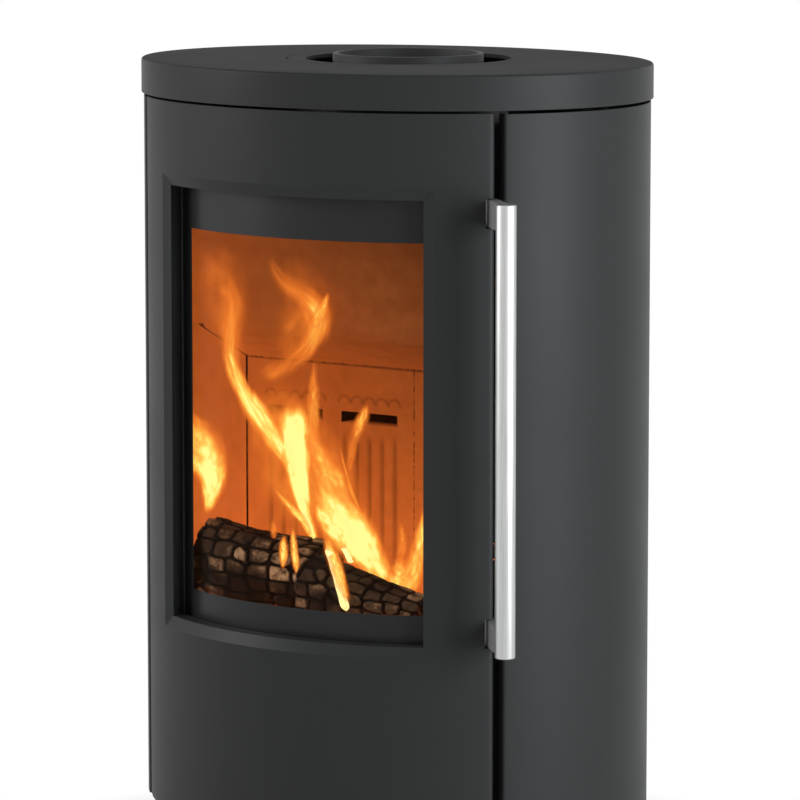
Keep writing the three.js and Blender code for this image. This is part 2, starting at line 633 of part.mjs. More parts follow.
function handleArm(z) {
  const top = z + ARM.height;
  const { along, reach, radius } = HANDLE;
  const half = ARM.thick / 2;
  const stem = edgePlate(rightEdge, [[along - half, reach], [along + half, reach], [along + half, -12],
    [along - half, -12]], z, top);
  const crank = edgePlate(rightEdge, [[along - half, -6.5], [LATCH.along, -6.5], [LATCH.along, -18.5],
    [along - half + 4, -18.5], [along - half, -14]], z, top);
  return cut(join(stem, crank, rod(LATCH.boss, z, top, ...shaftAt, 16)),
    rod(radius + GAP, z - 1, top + 1, ...barAt, 24), rod(LATCH.shaft + GAP, z - 1, top + 1, ...shaftAt, 16));
}

const handleBar = () => rod(HANDLE.radius, HANDLE.bottom, HANDLE.top, ...barAt, 24);

// strip on the inside of the fire box front that the hooks draw the door against
function latchKeeper() {
  const right = shaftAt[0] - HOOK.width / 2 - HOOK.nose - 0.8;
  const low = HOOK.levels[0] - 10;
  const high = HOOK.levels[1] + HOOK.height + 10;
  return common(box(right - 12, right, -130, -98, low, high), ovalStack([[insideInset, low - 1], [insideInset, high + 1]]));
}

// ---------- air control ----------
const damperBottom = BASE.bottom - GAP - 3;

function damperPlate() {
  const holes = airHoleSpans.map(([x0, x1]) => box(x0 - AIR.travel, x1 - AIR.travel, -60, 20,
    damperBottom - 1, damperBottom + 4));
  return cut(box(-112, 60, -75, 35, damperBottom, damperBottom + 3), ...holes);
}

// two rails with lips that carry the damper, tied together at their ends
function damperChannel() {
  const top = BASE.bottom - GAP;
  const lipTop = damperBottom - 0.8;
  const frame = cut(box(-125, 125, -86, 46, damperBottom - 3, top), box(-119, 119, -76, 36, lipTop, top + 1));
  return cut(frame, box(-119, 119, -67, 27, damperBottom - 4, top + 1));
}

function airLever() {
  const x = -AIR.x;
  const half = AIR.leverWidth / 2;
  return join(box(x - half, x + half, -192, -50, AIR.leverBottom, AIR.leverBottom + AIR.leverThick),
    box(x - half, x + half, -66, -50, AIR.leverBottom, damperBottom - GAP));
}

function airKnob() {
  return new THREE.CylinderGeometry(9, 9, 10, 20).translate(-AIR.x, -192.3 - 5, AIR.leverBottom + 2);
}

// ---------- fire load ----------
// round of wood between two points, with its radius at each
function log(from, fromRadius, to, toRadius, sides = 12) {
  const a = new THREE.Vector3(...from);
  const b = new THREE.Vector3(...to);
  const geometry = new THREE.CylinderGeometry(toRadius, fromRadius, a.distanceTo(b), sides);
  const turn = new THREE.Quaternion().setFromUnitVectors(new THREE.Vector3(0, 1, 0), b.clone().sub(a).normalize());
  return geometry.applyQuaternion(turn).translate(...a.add(b).multiplyScalar(0.5).toArray());
}

function emberBed() {
  const z = HEARTH.brickTop + GAP;
  const bed = new THREE.CylinderGeometry(92, 105, 4, 24).rotateX(Math.PI / 2).scale(1.2, 0.72, 1);
  return bed.translate(0, -60, z + 2);
}

// ---------- assembly ----------
const stove = new THREE.Group();
const body = new THREE.Group();
const door = new THREE.Group();
const handle = new THREE.Group();
const airControl = new THREE.Group();
stove.add(body, door, airControl);
door.add(handle);

function place(group, name, geometry, material) {
  const mesh = new THREE.Mesh(geometry, material);
  mesh.name = name;
  group.add(mesh);
}

place(body, 'plinth_ring', plinthRing(), BLACK_PAINT);
place(body, 'base_plate', basePlate(), DARK_STEEL);
place(body, 'side_panel_left', sidePanel(-1), BLACK_PAINT);
place(body, 'side_panel_right', sidePanel(1), BLACK_PAINT);
place(body, 'back_panel', backPanel(), BLACK_PAINT);
place(body, 'panel_hoop', panelHoop(), DARK_STEEL);
place(body, 'top_plate', topPlate(), BLACK_PAINT);
place(body, 'top_insert', topInsert(), BLACK_PAINT);
place(body, 'top_support_left', topSupport(-1), DARK_STEEL);
place(body, 'top_support_right', topSupport(1), DARK_STEEL);
place(body, 'flue_collar', flueCollar(), CAST_IRON);
[30, 150, 270].forEach((angle, i) => place(body, `collar_bolt_${i + 1}`, collarBolt(angle), DARK_STEEL));
place(body, 'smoke_box_top', smokeBoxTop(), DARK_STEEL);
place(body, 'firebox_front', fireboxFront(), DARK_STEEL);
place(body, 'firebox_wall_left', fireboxWall(-1), DARK_STEEL);
place(body, 'firebox_wall_right', fireboxWall(1), DARK_STEEL);
place(body, 'firebox_back', fireboxBack(), DARK_STEEL);
place(body, 'firebox_floor', fireboxFloor(), DARK_STEEL);
place(body, 'hearth_brick', hearthBrick(), FIREBRICK);
place(body, 'grate', grate(), CAST_IRON);
place(body, 'brick_left', sideBrick(-1), FIREBRICK);
place(body, 'brick_right', sideBrick(1), FIREBRICK);
place(body, 'back_plate_left', backPlate(-1), FIREBRICK);
place(body, 'back_plate_right', backPlate(1), FIREBRICK);
place(body, 'baffle_lower', baffleLower(), FIREBRICK);
place(body, 'baffle_upper', baffleUpper(), FIREBRICK);
place(body, 'airwash_plate', airwashPlate(), DARK_STEEL);
place(body, 'air_box', airBox(), DARK_STEEL);
place(body, 'rear_air_duct', rearDuct(), DARK_STEEL);
place(body, 'ash_shelf', ashShelf(), DARK_STEEL);
place(body, 'ash_pan', ashPan(), DARK_STEEL);
place(body, 'damper_channel', damperChannel(), DARK_STEEL);
place(body, 'hinge_bracket_upper', hingeBracket(), DARK_STEEL);
place(body, 'hinge_pin_upper', hingePinUpper(), DARK_STEEL);
place(body, 'hinge_pin_lower', hingePinLower(), DARK_STEEL);
place(body, 'latch_keeper', latchKeeper(), DARK_STEEL);
place(body, 'ember_bed', emberBed(), EMBER);
place(body, 'log_back', log([-157, -72, 309], 42, [-36, -64, 307], 39), CHARRED);
place(body, 'log_front', log([-24, -99, 301], 33, [105, -108, 287], 20), CHARRED);

place(door, 'door_panel', doorPanel(), BLACK_PAINT);
place(door, 'door_inner_frame', doorInnerFrame(), DARK_STEEL);
place(door, 'glass_pane', glassPane(), CERAMIC_GLASS);
place(door, 'glass_seal', glassSeal(), ROPE_GREY);
place(door, 'glass_clip_top', glassClip(GLASS.top, 1), DARK_STEEL);
place(door, 'glass_clip_bottom', glassClip(GLASS.bottom, -1), DARK_STEEL);
place(door, 'clip_screw_top', clipScrew(GLASS.top, 1), DARK_STEEL);
place(door, 'clip_screw_bottom', clipScrew(GLASS.bottom, -1), DARK_STEEL);
place(door, 'door_seal', doorSeal(), ROPE_GREY);
place(door, 'latch_bearing_upper', latchBearing(ARM.upper - 26), DARK_STEEL);
place(door, 'latch_bearing_lower', latchBearing(ARM.lower + ARM.height + 14), DARK_STEEL);

place(handle, 'latch_shaft', latchShaft(), DARK_STEEL);
place(handle, 'handle_arm_upper', handleArm(ARM.upper), ARM_GREY);
place(handle, 'handle_arm_lower', handleArm(ARM.lower), ARM_GREY);
place(handle, 'handle_bar', handleBar(), BRUSHED);

place(airControl, 'damper_plate', damperPlate(), DARK_STEEL);
place(airControl, 'air_lever', airLever(), DARK_STEEL);
place(airControl, 'air_knob', airKnob(), BRUSHED);

export default stove;
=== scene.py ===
import json
import math

import bmesh
import bpy
import numpy as np
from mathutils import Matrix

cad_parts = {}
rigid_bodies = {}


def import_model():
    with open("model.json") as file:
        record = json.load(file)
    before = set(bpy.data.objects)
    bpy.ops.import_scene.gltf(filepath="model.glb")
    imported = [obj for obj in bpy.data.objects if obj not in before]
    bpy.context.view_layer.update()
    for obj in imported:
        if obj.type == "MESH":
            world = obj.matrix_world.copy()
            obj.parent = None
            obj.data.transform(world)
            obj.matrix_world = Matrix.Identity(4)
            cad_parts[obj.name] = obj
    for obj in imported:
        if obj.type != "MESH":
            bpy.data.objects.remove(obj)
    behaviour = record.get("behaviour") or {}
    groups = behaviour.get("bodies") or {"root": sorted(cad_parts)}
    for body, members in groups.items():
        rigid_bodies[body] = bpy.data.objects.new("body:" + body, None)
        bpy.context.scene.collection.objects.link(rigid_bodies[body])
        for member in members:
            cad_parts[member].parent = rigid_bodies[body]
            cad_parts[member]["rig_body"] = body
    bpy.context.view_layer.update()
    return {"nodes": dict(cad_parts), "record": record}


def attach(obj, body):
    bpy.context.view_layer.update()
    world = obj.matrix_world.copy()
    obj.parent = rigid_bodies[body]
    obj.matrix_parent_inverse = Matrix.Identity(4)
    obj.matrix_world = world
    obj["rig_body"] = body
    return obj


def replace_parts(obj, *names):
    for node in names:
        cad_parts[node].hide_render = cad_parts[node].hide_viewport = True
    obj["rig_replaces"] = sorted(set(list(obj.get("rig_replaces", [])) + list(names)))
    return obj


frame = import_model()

# Oval wood stove. Lengths are written in millimetres and put into the meshes in metres.
# The front faces -Y, and angles round the oval run from the front, positive towards +X.
MM = 0.001

BODY_A = 250.0          # half width of the oval body
BODY_B = 204.0          # half depth
TOP_Z = 790.0
RIM_OVER = 2.3
RIM_BOTTOM = 758.0
RIM_ROUND = 2.4
SHELL_BOTTOM = 88.6
SHELL_TOP = 755.0
STEP = 1.5              # degrees between points round the oval
SIDES = {"left": -1, "right": 1}

DOOR_ANGLE = 50.68
DOOR_BOTTOM, DOOR_TOP = 91.0, 755.4
DOOR_ROUND = 5.0
DOOR_FLANGE = 10.0
DOOR_DEPTH = 26.0
WINDOW_HALF, WINDOW_BOTTOM, WINDOW_TOP = 139.6, 273.2, 677.6
BEVEL_WIDTH, BEVEL_DEPTH = 10.6, 4.3
REVEAL_END = 18.3
NOTCH_SIDE = 8.8
NOTCHES = ((272.5, 299.0), (653.0, 679.5))

GLASS_INSET, GLASS_THICK = 21.0, 4.0
GLASS_HALF, GLASS_BOTTOM, GLASS_TOP = 144.5, 266.0, 684.0
CLEAR_LEFT, CLEAR_RIGHT, CLEAR_BOTTOM, CLEAR_TOP = -123.2, 132.0, 299.0, 637.7

COLLAR_Y, COLLAR_OUTER, COLLAR_INNER, COLLAR_TOP = 22.1, 70.8, 66.0, 795.1
INSERT_HALF, INSERT_HOLE, INSERT_SEAM = 113.7, 96.7, 0.9
BAR_X, BAR_Y, BAR_RADIUS, BAR_BOTTOM, BAR_TOP = 226.57, -163.98, 9.3, 273.0, 679.0

HEARTH_TOP = 262.3
PLATE_FRONT, PLATE_THICK, PLATE_HALF, PLATE_TOP = 32.0, 28.0, 194.6, 493.0
BRICK_FACE = 162.0      # inner face of the side bricks at their front end
BRICK_TOP = 538.0
LATCH_SIDE = 150.0      # the baffle's right end stops here, beside the latch shaft
SLOT_NEAR, SLOT_WIDTH, SLOT_PITCH, SLOT_BOTTOM, SLOT_HEIGHT = 20.0, 62.0, 86.0, 437.0, 10.0

VIEW_TURN, VIEW_TILT = 33.588, 7.044     # the photo's view: degrees to the right of the front, and down
VIEW_RIGHT = np.array([math.cos(math.radians(VIEW_TURN)), math.sin(math.radians(VIEW_TURN))])
VIEW_AHEAD = np.array([-VIEW_RIGHT[1], VIEW_RIGHT[0]])
VIEW_PLACE = np.array([2359.1, -3544.4, 1070.4])
VIEW_LENS, VIEW_SHIFT = 205.22, (0.0002, -0.1)
SENSOR, PICTURE = 36.0, 800.0
FIRE = np.array([-45.0, -40.0])
FIRE_LEVEL = 0.34       # metres
FLOOR_RADIUS = 9000.0
LAMP_AIM = 0.45         # metres


def put(name, data):
    """New object in the scene."""
    obj = bpy.data.objects.new(name, data)
    bpy.context.scene.collection.objects.link(obj)
    return obj


# ---------- camera ----------
def photo_camera():
    """Camera at the photograph's place: 33.6 degrees to the right of the front, tilted 7 degrees down."""
    data = bpy.data.cameras.new("photo_camera")
    data.lens = VIEW_LENS
    data.sensor_width = SENSOR
    data.shift_x, data.shift_y = VIEW_SHIFT
    data.clip_end = 50.0
    camera = put("photo_camera", data)
    camera.location = VIEW_PLACE * MM
    camera.rotation_euler = (math.radians(90 - VIEW_TILT), 0.0, math.radians(VIEW_TURN))
    bpy.context.scene.camera = camera


# ---------- shapes worked out as arrays ----------
def points(x, y, z):
    """Points from their coordinates."""
    return np.stack(np.broadcast_arrays(x, y, z), -1)


def oval(angle, inset, z):
    """Oval drawn in by inset: x = (a - inset) sin(angle), y = -(b - inset) cos(angle), at height z."""
    turn = np.radians(angle)
    return points((BODY_A - inset) * np.sin(turn), -(BODY_B - inset) * np.cos(turn), z)


def front(x, inset, z):
    """Front of the oval drawn in by inset, at x: y = -(b - inset) sqrt(1 - (x / (a - inset))^2)."""
    return points(x, -(BODY_B - inset) * np.sqrt(1 - (x / (BODY_A - inset)) ** 2), z)


def angle_at(x):
    """Angle of the oval's point at x."""
    return math.degrees(math.asin(x / BODY_A))


def steps(start, end, size=STEP):
    """Evenly spaced values from start to end, no further apart than size."""
    return np.linspace(start, end, max(1, math.ceil(abs(end - start) / size)) + 1)


def full_turn(count):
    """Angles all the way round, in radians, as a column."""
    return np.linspace(0, 2 * np.pi, count, endpoint=False)[:, None]


def quarter(radius, count=8):
    """Quarter round as two arrays: distance from the edge r(1 - cos t), and distance inwards r(1 - sin t)."""
    turn = np.linspace(0, np.pi / 2, count + 1)
    return radius * (1 - np.cos(turn)), radius * (1 - np.sin(turn))


def rounded_square(turn, power):
    """Radius of a rounded square at an angle: (|cos t|^p + |sin t|^p)^(-1/p)."""
    return (np.abs(np.cos(turn)) ** power + np.abs(np.sin(turn)) ** power) ** (-1 / power)


def quads(rows, columns, keep=None, around=False):
    """Faces (i, j), (i, j+1), (i+1, j+1), (i+1, j) of a grid; around joins its last row to its first."""
    i, j = np.meshgrid(np.arange(rows if around else rows - 1), np.arange(columns - 1), indexing="ij")
    if keep is not None:
        i, j = i[keep], j[keep]
    i, j = i.ravel(), j.ravel()
    n = (i + 1) % rows
    return np.stack([i * columns + j, i * columns + j + 1, n * columns + j + 1, n * columns + j], 1)


def piece(name, patches, body, slot, outwards=None, replaces=(), uvs=None, attributes=None):
    """Joins grids of points into one mesh. A patch is points (rows, columns, 3), or (points, keep, around).

    outwards is a point in millimetres that faces look away from; without it the shape is closed and its
    normals are worked out from its own form.
    """
    places, faces, start = [], [], 0
    for patch in patches:
        grid, keep, around = patch if isinstance(patch, tuple) else (patch, None, False)
        rows, columns = grid.shape[:2]
        faces.append(quads(rows, columns, keep, around) + start)
        places.append(grid.reshape(-1, 3))
        start += rows * columns
    mesh = bpy.data.meshes.new(name)
    mesh.from_pydata((np.concatenate(places) * MM).tolist(), [], np.concatenate(faces).tolist())
    for label, values in (attributes or {}).items():
        layer = mesh.attributes.new(label, "FLOAT", "POINT")
        layer.data.foreach_set("value", values.ravel().astype(np.float32))
    if uvs is not None:
        layer = mesh.uv_layers.new(name="UVMap")
        corner = np.zeros(len(mesh.loops), np.int32)
        mesh.loops.foreach_get("vertex_index", corner)
        layer.data.foreach_set("uv", uvs.reshape(-1, 2)[corner].ravel().astype(np.float32))
    tidy(mesh, outwards)
    return finish_piece(put(name, mesh), body, slot, replaces)


def tidy(mesh, outwards=None):
    """Merges doubled points, drops faces with no area and points the faces outwards."""
    bm = bmesh.new()
    bm.from_mesh(mesh)
    bmesh.ops.remove_doubles(bm, verts=bm.verts, dist=2e-6)
    bmesh.ops.dissolve_degenerate(bm, edges=bm.edges, dist=1e-6)
    bmesh.ops.delete(bm, geom=[v for v in bm.verts if not v.link_faces], context="VERTS")
    bmesh.ops.recalc_face_normals(bm, faces=bm.faces)
    if outwards is not None:
        centre = np.array(outwards) * MM
        sign = sum((f.calc_center_median()[k] - centre[k]) * f.normal[k] * f.calc_area()
                   for f in bm.faces for k in range(3))
        if sign < 0:
            bmesh.ops.reverse_faces(bm, faces=bm.faces)
    bm.to_mesh(mesh)
    bm.free()


def finish_piece(obj, body, slot, replaces=()):
    """Smooth shading with sharp corners, the finish of its slot, and its body."""
    mesh = obj.data
    mesh.polygons.foreach_set("use_smooth", np.ones(len(mesh.polygons), bool))
    mesh.set_sharp_from_angle(angle=math.radians(32))
    mesh.materials.clear()
    mesh.materials.append(FINISHES[slot])
    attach(obj, body)
    if replaces:
        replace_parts(obj, *replaces)
    return obj


def wall(obj, thick, soft, **edges):
    """Gives a sheet its thickness, inwards from the surface, and softens its corners."""
    solid = obj.modifiers.new("thickness", "SOLIDIFY")
    solid.thickness = thick * MM
    solid.offset = -1
    solid.use_even_offset = True
    soft_edges(obj, soft, **edges)


def soft_edges(obj, width, angle=35, segments=2):
    """Rounds the corners that are sharper than the angle."""
    bevel = obj.modifiers.new("soft edges", "BEVEL")
    bevel.width = width * MM
    bevel.segments = segments
    bevel.limit_method = "ANGLE"
    bevel.angle_limit = math.radians(angle)
    bevel.harden_normals = True


def turned(name, profile, x, y, body, slot, replaces=(), sides=64):
    """Solid of revolution: (x + r cos t, y + r sin t, z), through closed [r, z] points."""
    turn = full_turn(sides)
    r, z = np.array(profile, float).T
    grid = points(x + r * np.cos(turn), y + r * np.sin(turn), z)
    piece(name, [(grid, None, True)], body, slot, replaces=replaces)


def finished_copy(node):
    """Copy of a CAD node with its points merged, its flat faces joined and its corners softened."""
    source = frame["nodes"][node]
    mesh = source.data.copy()
    mesh.name = "finished_" + node
    bm = bmesh.new()
    bm.from_mesh(mesh)
    bmesh.ops.remove_doubles(bm, verts=bm.verts, dist=2e-6)
    bmesh.ops.dissolve_limit(bm, angle_limit=math.radians(0.4), verts=bm.verts, edges=bm.edges)
    bm.to_mesh(mesh)
    bm.free()
    obj = finish_piece(put("finished_" + node, mesh), source["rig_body"], SLOT_BY_NODE[node], [node])
    if node not in PLAIN_EDGES:
        soft_edges(obj, 0.5)


# ---------- shader tools ----------
class Tree:
    """Adds nodes to a shader tree. An input is a number or colour, or another node's output to link to."""

    def __init__(self, tree):
        self.tree = tree

    def fill(self, node, inputs):
        for key, value in inputs.items():
            if isinstance(value, bpy.types.NodeSocket):
                self.tree.links.new(value, node.inputs[key])
            else:
                node.inputs[key].default_value = value

    def add(self, kind, inputs=None, **settings):
        node = self.tree.nodes.new(kind)
        for key, value in settings.items():
            setattr(node, key, value)
        self.fill(node, inputs or {})
        return node.outputs

    def math(self, operation, first, *others):
        """The values joined from the left by an operation. A lone value goes through it with nought."""
        for other in others or (0.0,):
            first = self.add("ShaderNodeMath", {0: first, 1: other}, operation=operation)[0]
        return first

    def scaled(self, value, low, high, to_low=0.0, to_high=1.0, **settings):
        """Value carried from one range to another and kept inside it."""
        ranges = {0: value, 1: low, 2: high, 3: to_low, 4: to_high}
        return self.add("ShaderNodeMapRange", ranges, **settings)[0]

    def noise(self, place, scale, detail=2.0, roughness=0.5, distortion=0.0):
        return self.add("ShaderNodeTexNoise", {"Vector": place, "Scale": scale, "Detail": detail,
                                               "Roughness": roughness, "Distortion": distortion})[0]

    def spread(self, noise, low, high):
        """Noise, most of which lies from 0.3 to 0.7, carried to the range from low to high."""
        return self.scaled(noise, 0.3, 0.7, low, high)

    def mapped(self, place, **changes):
        """Coordinates changed by a Scale or a Rotation."""
        return self.add("ShaderNodeMapping", {"Vector": place, **changes})[0]

    def parts(self, vector):
        return self.add("ShaderNodeSeparateXYZ", {0: vector})[0:3]

    def attribute(self, name):
        return self.add("ShaderNodeAttribute", attribute_name=name)["Fac"]

    def ramp(self, value, *stops):
        """Colour ramp through (position, colour) stops; a colour is three numbers, or one for a grey."""
        node = self.tree.nodes.new("ShaderNodeValToRGB")
        elements = node.color_ramp.elements
        while len(elements) < len(stops):
            elements.new(0.5)
        for element, (position, color) in zip(elements, stops):
            element.position = position
            element.color = (*color, 1) if isinstance(color, tuple) else (color, color, color, 1)
        self.fill(node, {0: value})
        return node.outputs[0]

    def mix(self, a, b, blend="MULTIPLY", factor=1.0):
        """Two colours mixed; each is three numbers or another node's output."""
        a, b = ((*value, 1) if isinstance(value, tuple) else value for value in (a, b))
        return self.add("ShaderNodeMix", {0: factor, 6: a, 7: b}, data_type="RGBA", blend_type=blend)[2]


class Finish(Tree):
    """Material with a Principled BSDF. Its place is the Object coordinates."""

    def __init__(self, name):
        self.material = bpy.data.materials.new(name)
        self.material.use_nodes = True
        super().__init__(self.material.node_tree)
        self.shader = self.tree.nodes["Principled BSDF"]
        self.place = self.add("ShaderNodeTexCoord")["Object"]

    def bump(self, height, strength, distance):
        return self.add("ShaderNodeBump", {"Height": height, "Strength": strength, "Distance": distance})[0]

    def done(self, inputs):
        self.fill(self.shader, inputs)
        return self.material


def effect(name, inputs, outputs, build):
    """Shader node group with named inputs (kind, default) and outputs; build returns what feeds them."""
    tree = bpy.data.node_groups.new(name, "ShaderNodeTree")
    for label, (kind, default) in inputs.items():
        socket = tree.interface.new_socket(label, in_out="INPUT", socket_type="NodeSocket" + kind)
        if default is not None:
            socket.default_value = default
    for label in outputs:
        tree.interface.new_socket(label, in_out="OUTPUT", socket_type="NodeSocketFloat")
    group = Tree(tree)
    given = tree.nodes.new("NodeGroupInput").outputs
    group.fill(tree.nodes.new("NodeGroupOutput"), build(group, given))
    return tree


def grain_parts(t, given):
    """Sprayed texture: fine noise for the bump, and a broad faint cloud for colour and roughness."""
    fine = t.noise(given["Place"], given["Scale"])
    cloud = t.noise(given["Place"], 9.0, 3.0)
    raised = t.math("ADD", t.math("MULTIPLY", cloud, given["Clouding"]), 1.0)
    shade = t.math("SUBTRACT", raised, t.math("MULTIPLY", given["Clouding"], 0.5))
    return {"Height": fine, "Shade": shade, "Cloud": cloud}


def glow_parts(t, given):
    """Light of the fire on what stands round it: e^(near - 4.8 h - 0.4 x - 18.6 x h).

    h is the height over the fire in metres, and near falls from -0.60 to -0.80 between 0.03 and 0.12. It is
    strongest low down beside the flames, and fades towards the right higher up.
    """
    x, _, z = t.parts(given["Place"])
    side = t.add("ShaderNodeClamp", {0: x, 1: -0.2, 2: 0.2})[0]
    high = t.add("ShaderNodeClamp", {0: t.math("SUBTRACT", z, FIRE_LEVEL), 1: -0.08, 2: 0.32})[0]
    near = t.scaled(high, 0.03, 0.12, -0.60, -0.80)
    power = t.math("ADD", t.math("MULTIPLY", high, -4.8), t.math("MULTIPLY", side, -0.4),
                   t.math("MULTIPLY", side, high, -18.6), near)
    flicker = t.spread(t.noise(given["Place"], 7.0), 0.9, 1.1)
    return {"Glow": t.math("MULTIPLY", t.math("EXPONENT", power), flicker)}


GRAIN = effect("sprayed grain",
               {"Place": ("Vector", None), "Scale": ("Float", 900.0), "Clouding": ("Float", 0.1)},
               ("Height", "Shade", "Cloud"), grain_parts)
GLOW = effect("fire glow", {"Place": ("Vector", None)}, ("Glow",), glow_parts)


# ---------- finishes ----------
def sprayed(t, color, roughness, metallic=0.0, grain=900.0, strength=0.12, clouding=0.12, gloss_level=0.5,
            level_roughness=None):
    """Heat-resistant sprayed paint: even colour with a fine grain and slightly cloudy gloss.

    level_roughness is the roughness of faces that lie level, blended in by how far they face upwards.
    """
    grained = t.add("ShaderNodeGroup", {"Place": t.place, "Scale": grain, "Clouding": clouding},
                    node_tree=GRAIN)
    gloss = t.spread(grained["Cloud"], roughness - 0.03, roughness + 0.03)
    if level_roughness:
        upwards = t.parts(t.add("ShaderNodeNewGeometry")["Normal"])[2]
        more = t.math("MULTIPLY", t.scaled(upwards, 0.6, 0.95), level_roughness - roughness)
        gloss = t.math("ADD", gloss, more)
    return t.done({
        "Base Color": t.mix(color, t.ramp(grained["Shade"], (0.0, 0.0), (1.0, 1.0))),
        "Roughness": gloss,
        "Metallic": metallic,
        "Specular IOR Level": gloss_level,
        "Normal": t.bump(grained["Height"], strength, 0.0003)})


def brushed_steel(t):
    """Brushed stainless steel: fine marks run along the bar."""
    marks = t.noise(t.mapped(t.place, Scale=(1.0, 1.0, 0.012)), 1500.0, 3.0)
    return t.done({
        "Base Color": t.ramp(marks, (0.3, (0.43, 0.44, 0.43)), (0.7, (0.53, 0.54, 0.53))),
        "Roughness": t.spread(marks, 0.34, 0.44),
        "Metallic": 1.0,
        "Normal": t.bump(marks, 0.1, 0.0002)})


def fire_brick(t):
    """Heat-tinted vermiculite board with soot specks and dents. The fire's orange light on it is painted in
    as emission, and painted shade darkens it in recesses, along joints and at edges.
    """
    coarse = t.noise(t.place, 60.0, 6.0, roughness=0.65)
    specks = t.add("ShaderNodeTexVoronoi", {"Vector": t.place, "Scale": 95.0})[0]
    # shade: soot specks (the board's own colour) times painted shade read from a mesh attribute, for slots,
    # grooves, arches, edges and joints
    shade = t.mix(t.ramp(specks, (0.0, 0.5), (0.06, 0.75), (0.09, 1.0)),
                  t.ramp(t.attribute("painted_shade"), (0.0, 1.0), (0.9, 0.03)))
    pale = t.ramp(coarse, (0.35, 0.0), (0.7, 1.0))
    color = t.mix((0.10, 0.028, 0.006), (0.14, 0.042, 0.010), "MIX", pale)
    # painted fire light: emission in the fire's orange, strongest low down beside the flames, so the board
    # glows as if lit
    glow = t.add("ShaderNodeGroup", {"Place": t.place}, node_tree=GLOW)["Glow"]
    light = t.mix((0.96, 0.19, 0.030), t.math("MULTIPLY", glow, t.spread(coarse, 0.92, 1.08)))
    return t.done({
        "Base Color": t.mix(color, shade),
        "Roughness": 0.95,
        "Specular IOR Level": 0.05,
        "Emission Color": t.mix(light, shade),
        "Emission Strength": 1.0,
        "Normal": t.bump(coarse, 0.3, 0.0008)})


def rope(t):
    """Braided glass-fibre rope: crossed diagonal strands."""
    strands = []
    for turn in ((0.6, 0.6, 0.8), (-0.6, 0.6, -0.8)):
        way = t.mapped(t.place, Rotation=turn)
        strands.append(t.add("ShaderNodeTexWave", {"Vector": way, "Scale": 160.0, "Distortion": 1.0})[1])
    weave = t.math("MULTIPLY", *strands)
    return t.done({
        "Base Color": t.ramp(weave, (0.0, (0.06, 0.058, 0.055)), (1.0, (0.28, 0.27, 0.25))),
        "Roughness": 0.9,
        "Normal": t.bump(weave, 0.6, 0.0008)})


def stove_glass(t):
    """Clear heat-resistant glass, with a trace of haze in its colour."""
    return t.done({
        "Base Color": t.ramp(t.noise(t.place, 14.0, 4.0), (0.0, (0.96, 0.955, 0.95)), (1.0, 1.0)),
        "Transmission Weight": 1.0,
        "Roughness": 0.0,
        "IOR": 1.05})


def charred(t):
    """Burnt log: black above, ash-brown plates below in patches, with a few glowing cracks between them. The
    fire's light on it is painted in as emission, in the tones of its surface.
    """
    crack = t.attribute("crack")
    z = t.parts(t.place)[2]
    fleck = t.noise(t.place, 150.0, 6.0, roughness=0.7)
    patch = t.noise(t.place, 22.0)
    ashen = t.math("MULTIPLY", t.ramp(patch, (0.45, 0.08), (0.56, 1.0)), t.scaled(z, 0.36, 0.31, 0.3, 1.0),
                   t.attribute("plate"), t.ramp(crack, (0.22, 0.0), (0.55, 1.0)))
    tone = t.math("MULTIPLY", ashen, t.spread(fleck, 0.3, 1.5))
    hot = t.math("MULTIPLY", t.ramp(crack, (0.0, 1.0), (0.2, 0.0)), t.scaled(z, 0.300, 0.276),
                 t.ramp(patch, (0.45, 0.0), (0.56, 1.0)))
    # painted fire light: the surface's own tones given again as emission, so pale plates look lit by the
    # flames
    lit = t.ramp(tone, (0.0, (0.004, 0.0015, 0.0006)), (0.3, (0.030, 0.012, 0.005)),
                 (0.8, (0.19, 0.092, 0.038)))
    return t.done({
        "Base Color": t.ramp(tone, (0.0, (0.006, 0.004, 0.003)), (0.3, (0.05, 0.030, 0.016)),
                             (0.8, (0.36, 0.24, 0.14))),
        "Roughness": 0.85,
        "Specular IOR Level": 0.08,
        "Emission Color": t.mix(lit, t.ramp(hot, (0.2, 0.0), (1.0, (0.6, 0.09, 0.01))), "ADD"),
        "Emission Strength": 1.0,
        "Normal": t.bump(fleck, 0.5, 0.001)})


def embers(t):
    """Glowing embers: bright orange lumps with grey ash on top."""
    lumps = t.add("ShaderNodeTexVoronoi", {"Vector": t.place, "Scale": 70.0})[0]
    heat = t.noise(t.place, 35.0, 4.0)
    light = t.ramp(heat, (0.36, (0.02, 0.004, 0.001)), (0.52, (0.75, 0.14, 0.015)), (0.68, (1.0, 0.55, 0.12)))
    return t.done({
        "Base Color": t.ramp(heat, (0.35, (0.30, 0.26, 0.23)), (0.6, (0.05, 0.03, 0.02))),
        "Emission Color": t.mix(light, t.ramp(lumps, (0.1, 1.0), (0.6, 0.35))),
        "Emission Strength": 1.2,
        "Roughness": 0.9,
        "Normal": t.bump(lumps, 0.8, 0.003)})


